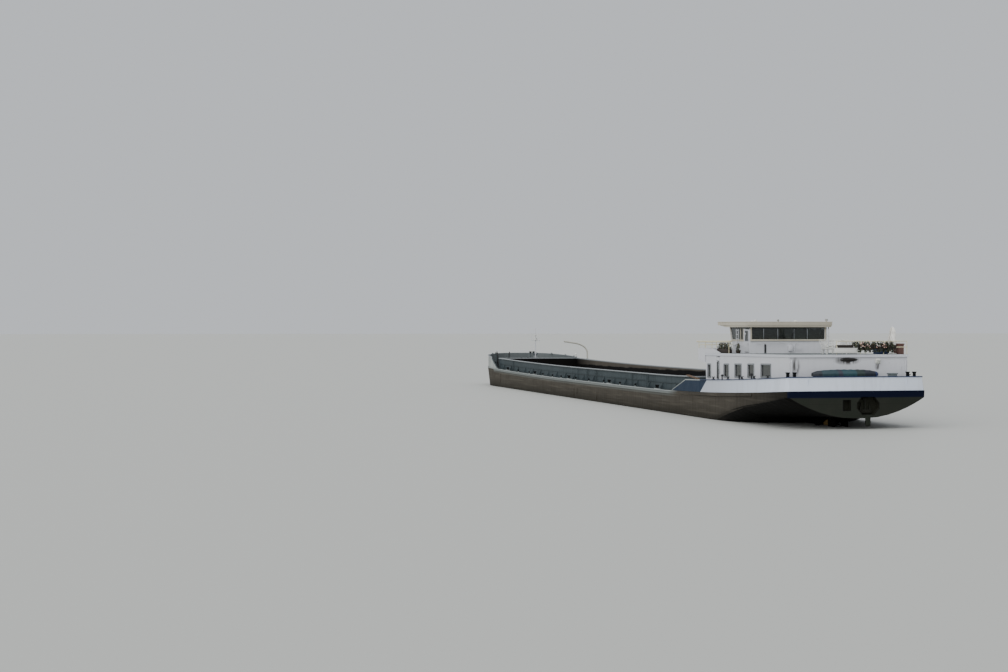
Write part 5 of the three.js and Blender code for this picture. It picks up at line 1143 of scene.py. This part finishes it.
# Coated cloth has a soft shine over long creases 0.3 m apart; threads of 1 mm are drawn 26 mm apart
tarpaulin, tree, shader, where = new_material("coated_polyester_tarpaulin", 0.55)
y_place = add(tree, "SeparateXYZ", where).node.outputs[1]
panels = add(tree, "ValToRGB", add(tree, "MapRange", y_place, -1.7, 2.7))
ramp = panels.node.color_ramp
ramp.interpolation = "CONSTANT"
PANELS = ((0.0, "#0c2454"), (0.07, "#091322"), (0.24, "#142624"), (0.36, "#103a41"), (0.57, "#222533"),
          (0.63, "#0d2f37"), (0.86, "#08121e"))
for i, (at, tone) in enumerate(PANELS):
    stop = ramp.elements[i] if i < 2 else ramp.elements.new(at)
    stop.position, stop.color = at, srgb(tone)
creases = add(tree, "TexNoise", where, Scale=3.5, Detail=5)
warp, weft = (add(tree, "TexWave", where, Scale=12, bands_direction=way) for way in "XY")
weave = add(tree, "Math", warp, weft, operation="MULTIPLY")
tree.links.new(laid(tree, panels, "#363f42", (creases, 0.5, 0.75), share=0.35), shader.inputs["Base Color"])
relief = add(tree, "Bump", Strength=0.3, Distance=0.002, Height=creases)
relief = add(tree, "Bump", Strength=0.12, Distance=0.0004, Height=weave, Normal=relief)
tree.links.new(relief, shader.inputs["Normal"])
only_selected()
bpy.ops.mesh.primitive_grid_add(x_subdivisions=96, y_subdivisions=36, size=2)
cover = bpy.context.object
for vertex in cover.data.vertices:
    k, v = vertex.co.x, vertex.co.y
    full = fullness(k)
    half = 0.43 * full + 0.012
    if abs(v) <= CROWN_SHARE:
        u = v / CROWN_SHARE
        sag = 0.95 + 0.04 * math.cos(5.2 * math.pi * k) ** 2 + 0.02 * math.sin(9 * k)
        crown = 0.235 * full * (1 - abs(u) ** 1.9) * sag
        s, z = TENDER_S + half * u, COVER_FOOT + crown + 0.006 * math.sin(31 * k + 5 * u)
    else:
        fall = (abs(v) - CROWN_SHARE) / (1 - CROWN_SHARE)
        flare = 0.014 * math.sin(46 * k + (1.3 if v > 0 else 0)) * fall
        s = TENDER_S + math.copysign(half + 0.004 + flare, v)
        z = COVER_FOOT - 0.16 * fall + 0.012 * fall * math.sin(23 * k)
    vertex.co = place(s, TENDER_Y + k * (TENDER_HALF + 0.04), z)
finished(cover, "SOLIDIFY", thickness=0.0004, offset=1)
cover = welded([cover], "tender_cover_sheet", tarpaulin, crease=60)
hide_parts("tender")


# Parasol
# A white polyester canopy two and a half metres across, furled round its pole and tied with a band, in a
# round white foot. The eight panels fold out and back between the ribs and wind round the pole.
PARASOL_S, PARASOL_Y, TOP_Z, PANEL_COUNT, BAND_AT = 2.1, -3.15, 7.19, 8, 0.3
foot_z = roof_deck(1.85)
stand = turned(PARASOL_S, PARASOL_Y, (foot_z, foot_z + 0.07, 0.25, None, 28),
               (foot_z + 0.06, foot_z + 0.2, 0.06, 0.045), (roof_deck(PARASOL_S) + 0.1, 7.2, 0.025),
               (TOP_Z, 7.28, 0.035, 0.012))
stand = welded(stand, "parasol_stand", white_moulding)
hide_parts("parasol")
# Woven cloth is matt and pale with a little grey in patches of 0.25 m; threads of 1 mm are drawn 22 mm apart
canopy_cloth, tree, shader, where = new_material("woven_white_polyester", 0.85, Sheen_Weight=0.25)
toned(shader, add(tree, "TexNoise", where, Scale=4, Detail=4), "#f1efea", "#dad7d0")
weave = add(tree, "TexWave", where, Scale=14, bands_direction="Z")
tree.links.new(add(tree, "Bump", Strength=0.15, Distance=0.0005, Height=weave), shader.inputs["Normal"])
only_selected()
bpy.ops.mesh.primitive_grid_add(x_subdivisions=PANEL_COUNT * 18, y_subdivisions=22, size=1)
canopy = bpy.context.object
for vertex in canopy.data.vertices:
    around, down = (vertex.co.x + 0.5) * PANEL_COUNT, 0.5 - vertex.co.y
    lobe, fold = (PANEL_COUNT, 0.0) if around > 7.9999 else divmod(around, 1.0)
    out = 1 - abs(2 * fold - 1)
    swell = 0.09 + 0.07 * min(1, down / 0.15) + 0.09 * min(1, down / 0.66)
    swell -= 0.15 * max(0, (down - 0.66) / 0.34) ** 1.5
    reach = swell * (1 + 0.08 * math.sin(2.4 * (lobe % PANEL_COUNT)))
    tied_in = 1 - 0.1 * math.exp(-((down - BAND_AT) / 0.06) ** 2)
    radius = (0.036 + (reach - 0.036) * out) * tied_in
    angle = 2 * math.pi * (lobe + fold) / PANEL_COUNT + 3.4 * (0.25 + 0.75 * down) * out
    hem = 0.03 * math.sin(2.1 * (lobe % PANEL_COUNT)) * down * out
    s, y = PARASOL_S + radius * math.cos(angle), PARASOL_Y + radius * math.sin(angle)
    vertex.co = place(s, y, TOP_Z - 1.35 * down + hem)
only_selected(canopy)
with edit_mode():
    bpy.ops.mesh.remove_doubles(threshold=0.00001)
finished(canopy, "SOLIDIFY", thickness=0.0003, offset=0)
canopy = welded([canopy], "parasol_canopy", canopy_cloth, crease=70)


low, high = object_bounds()
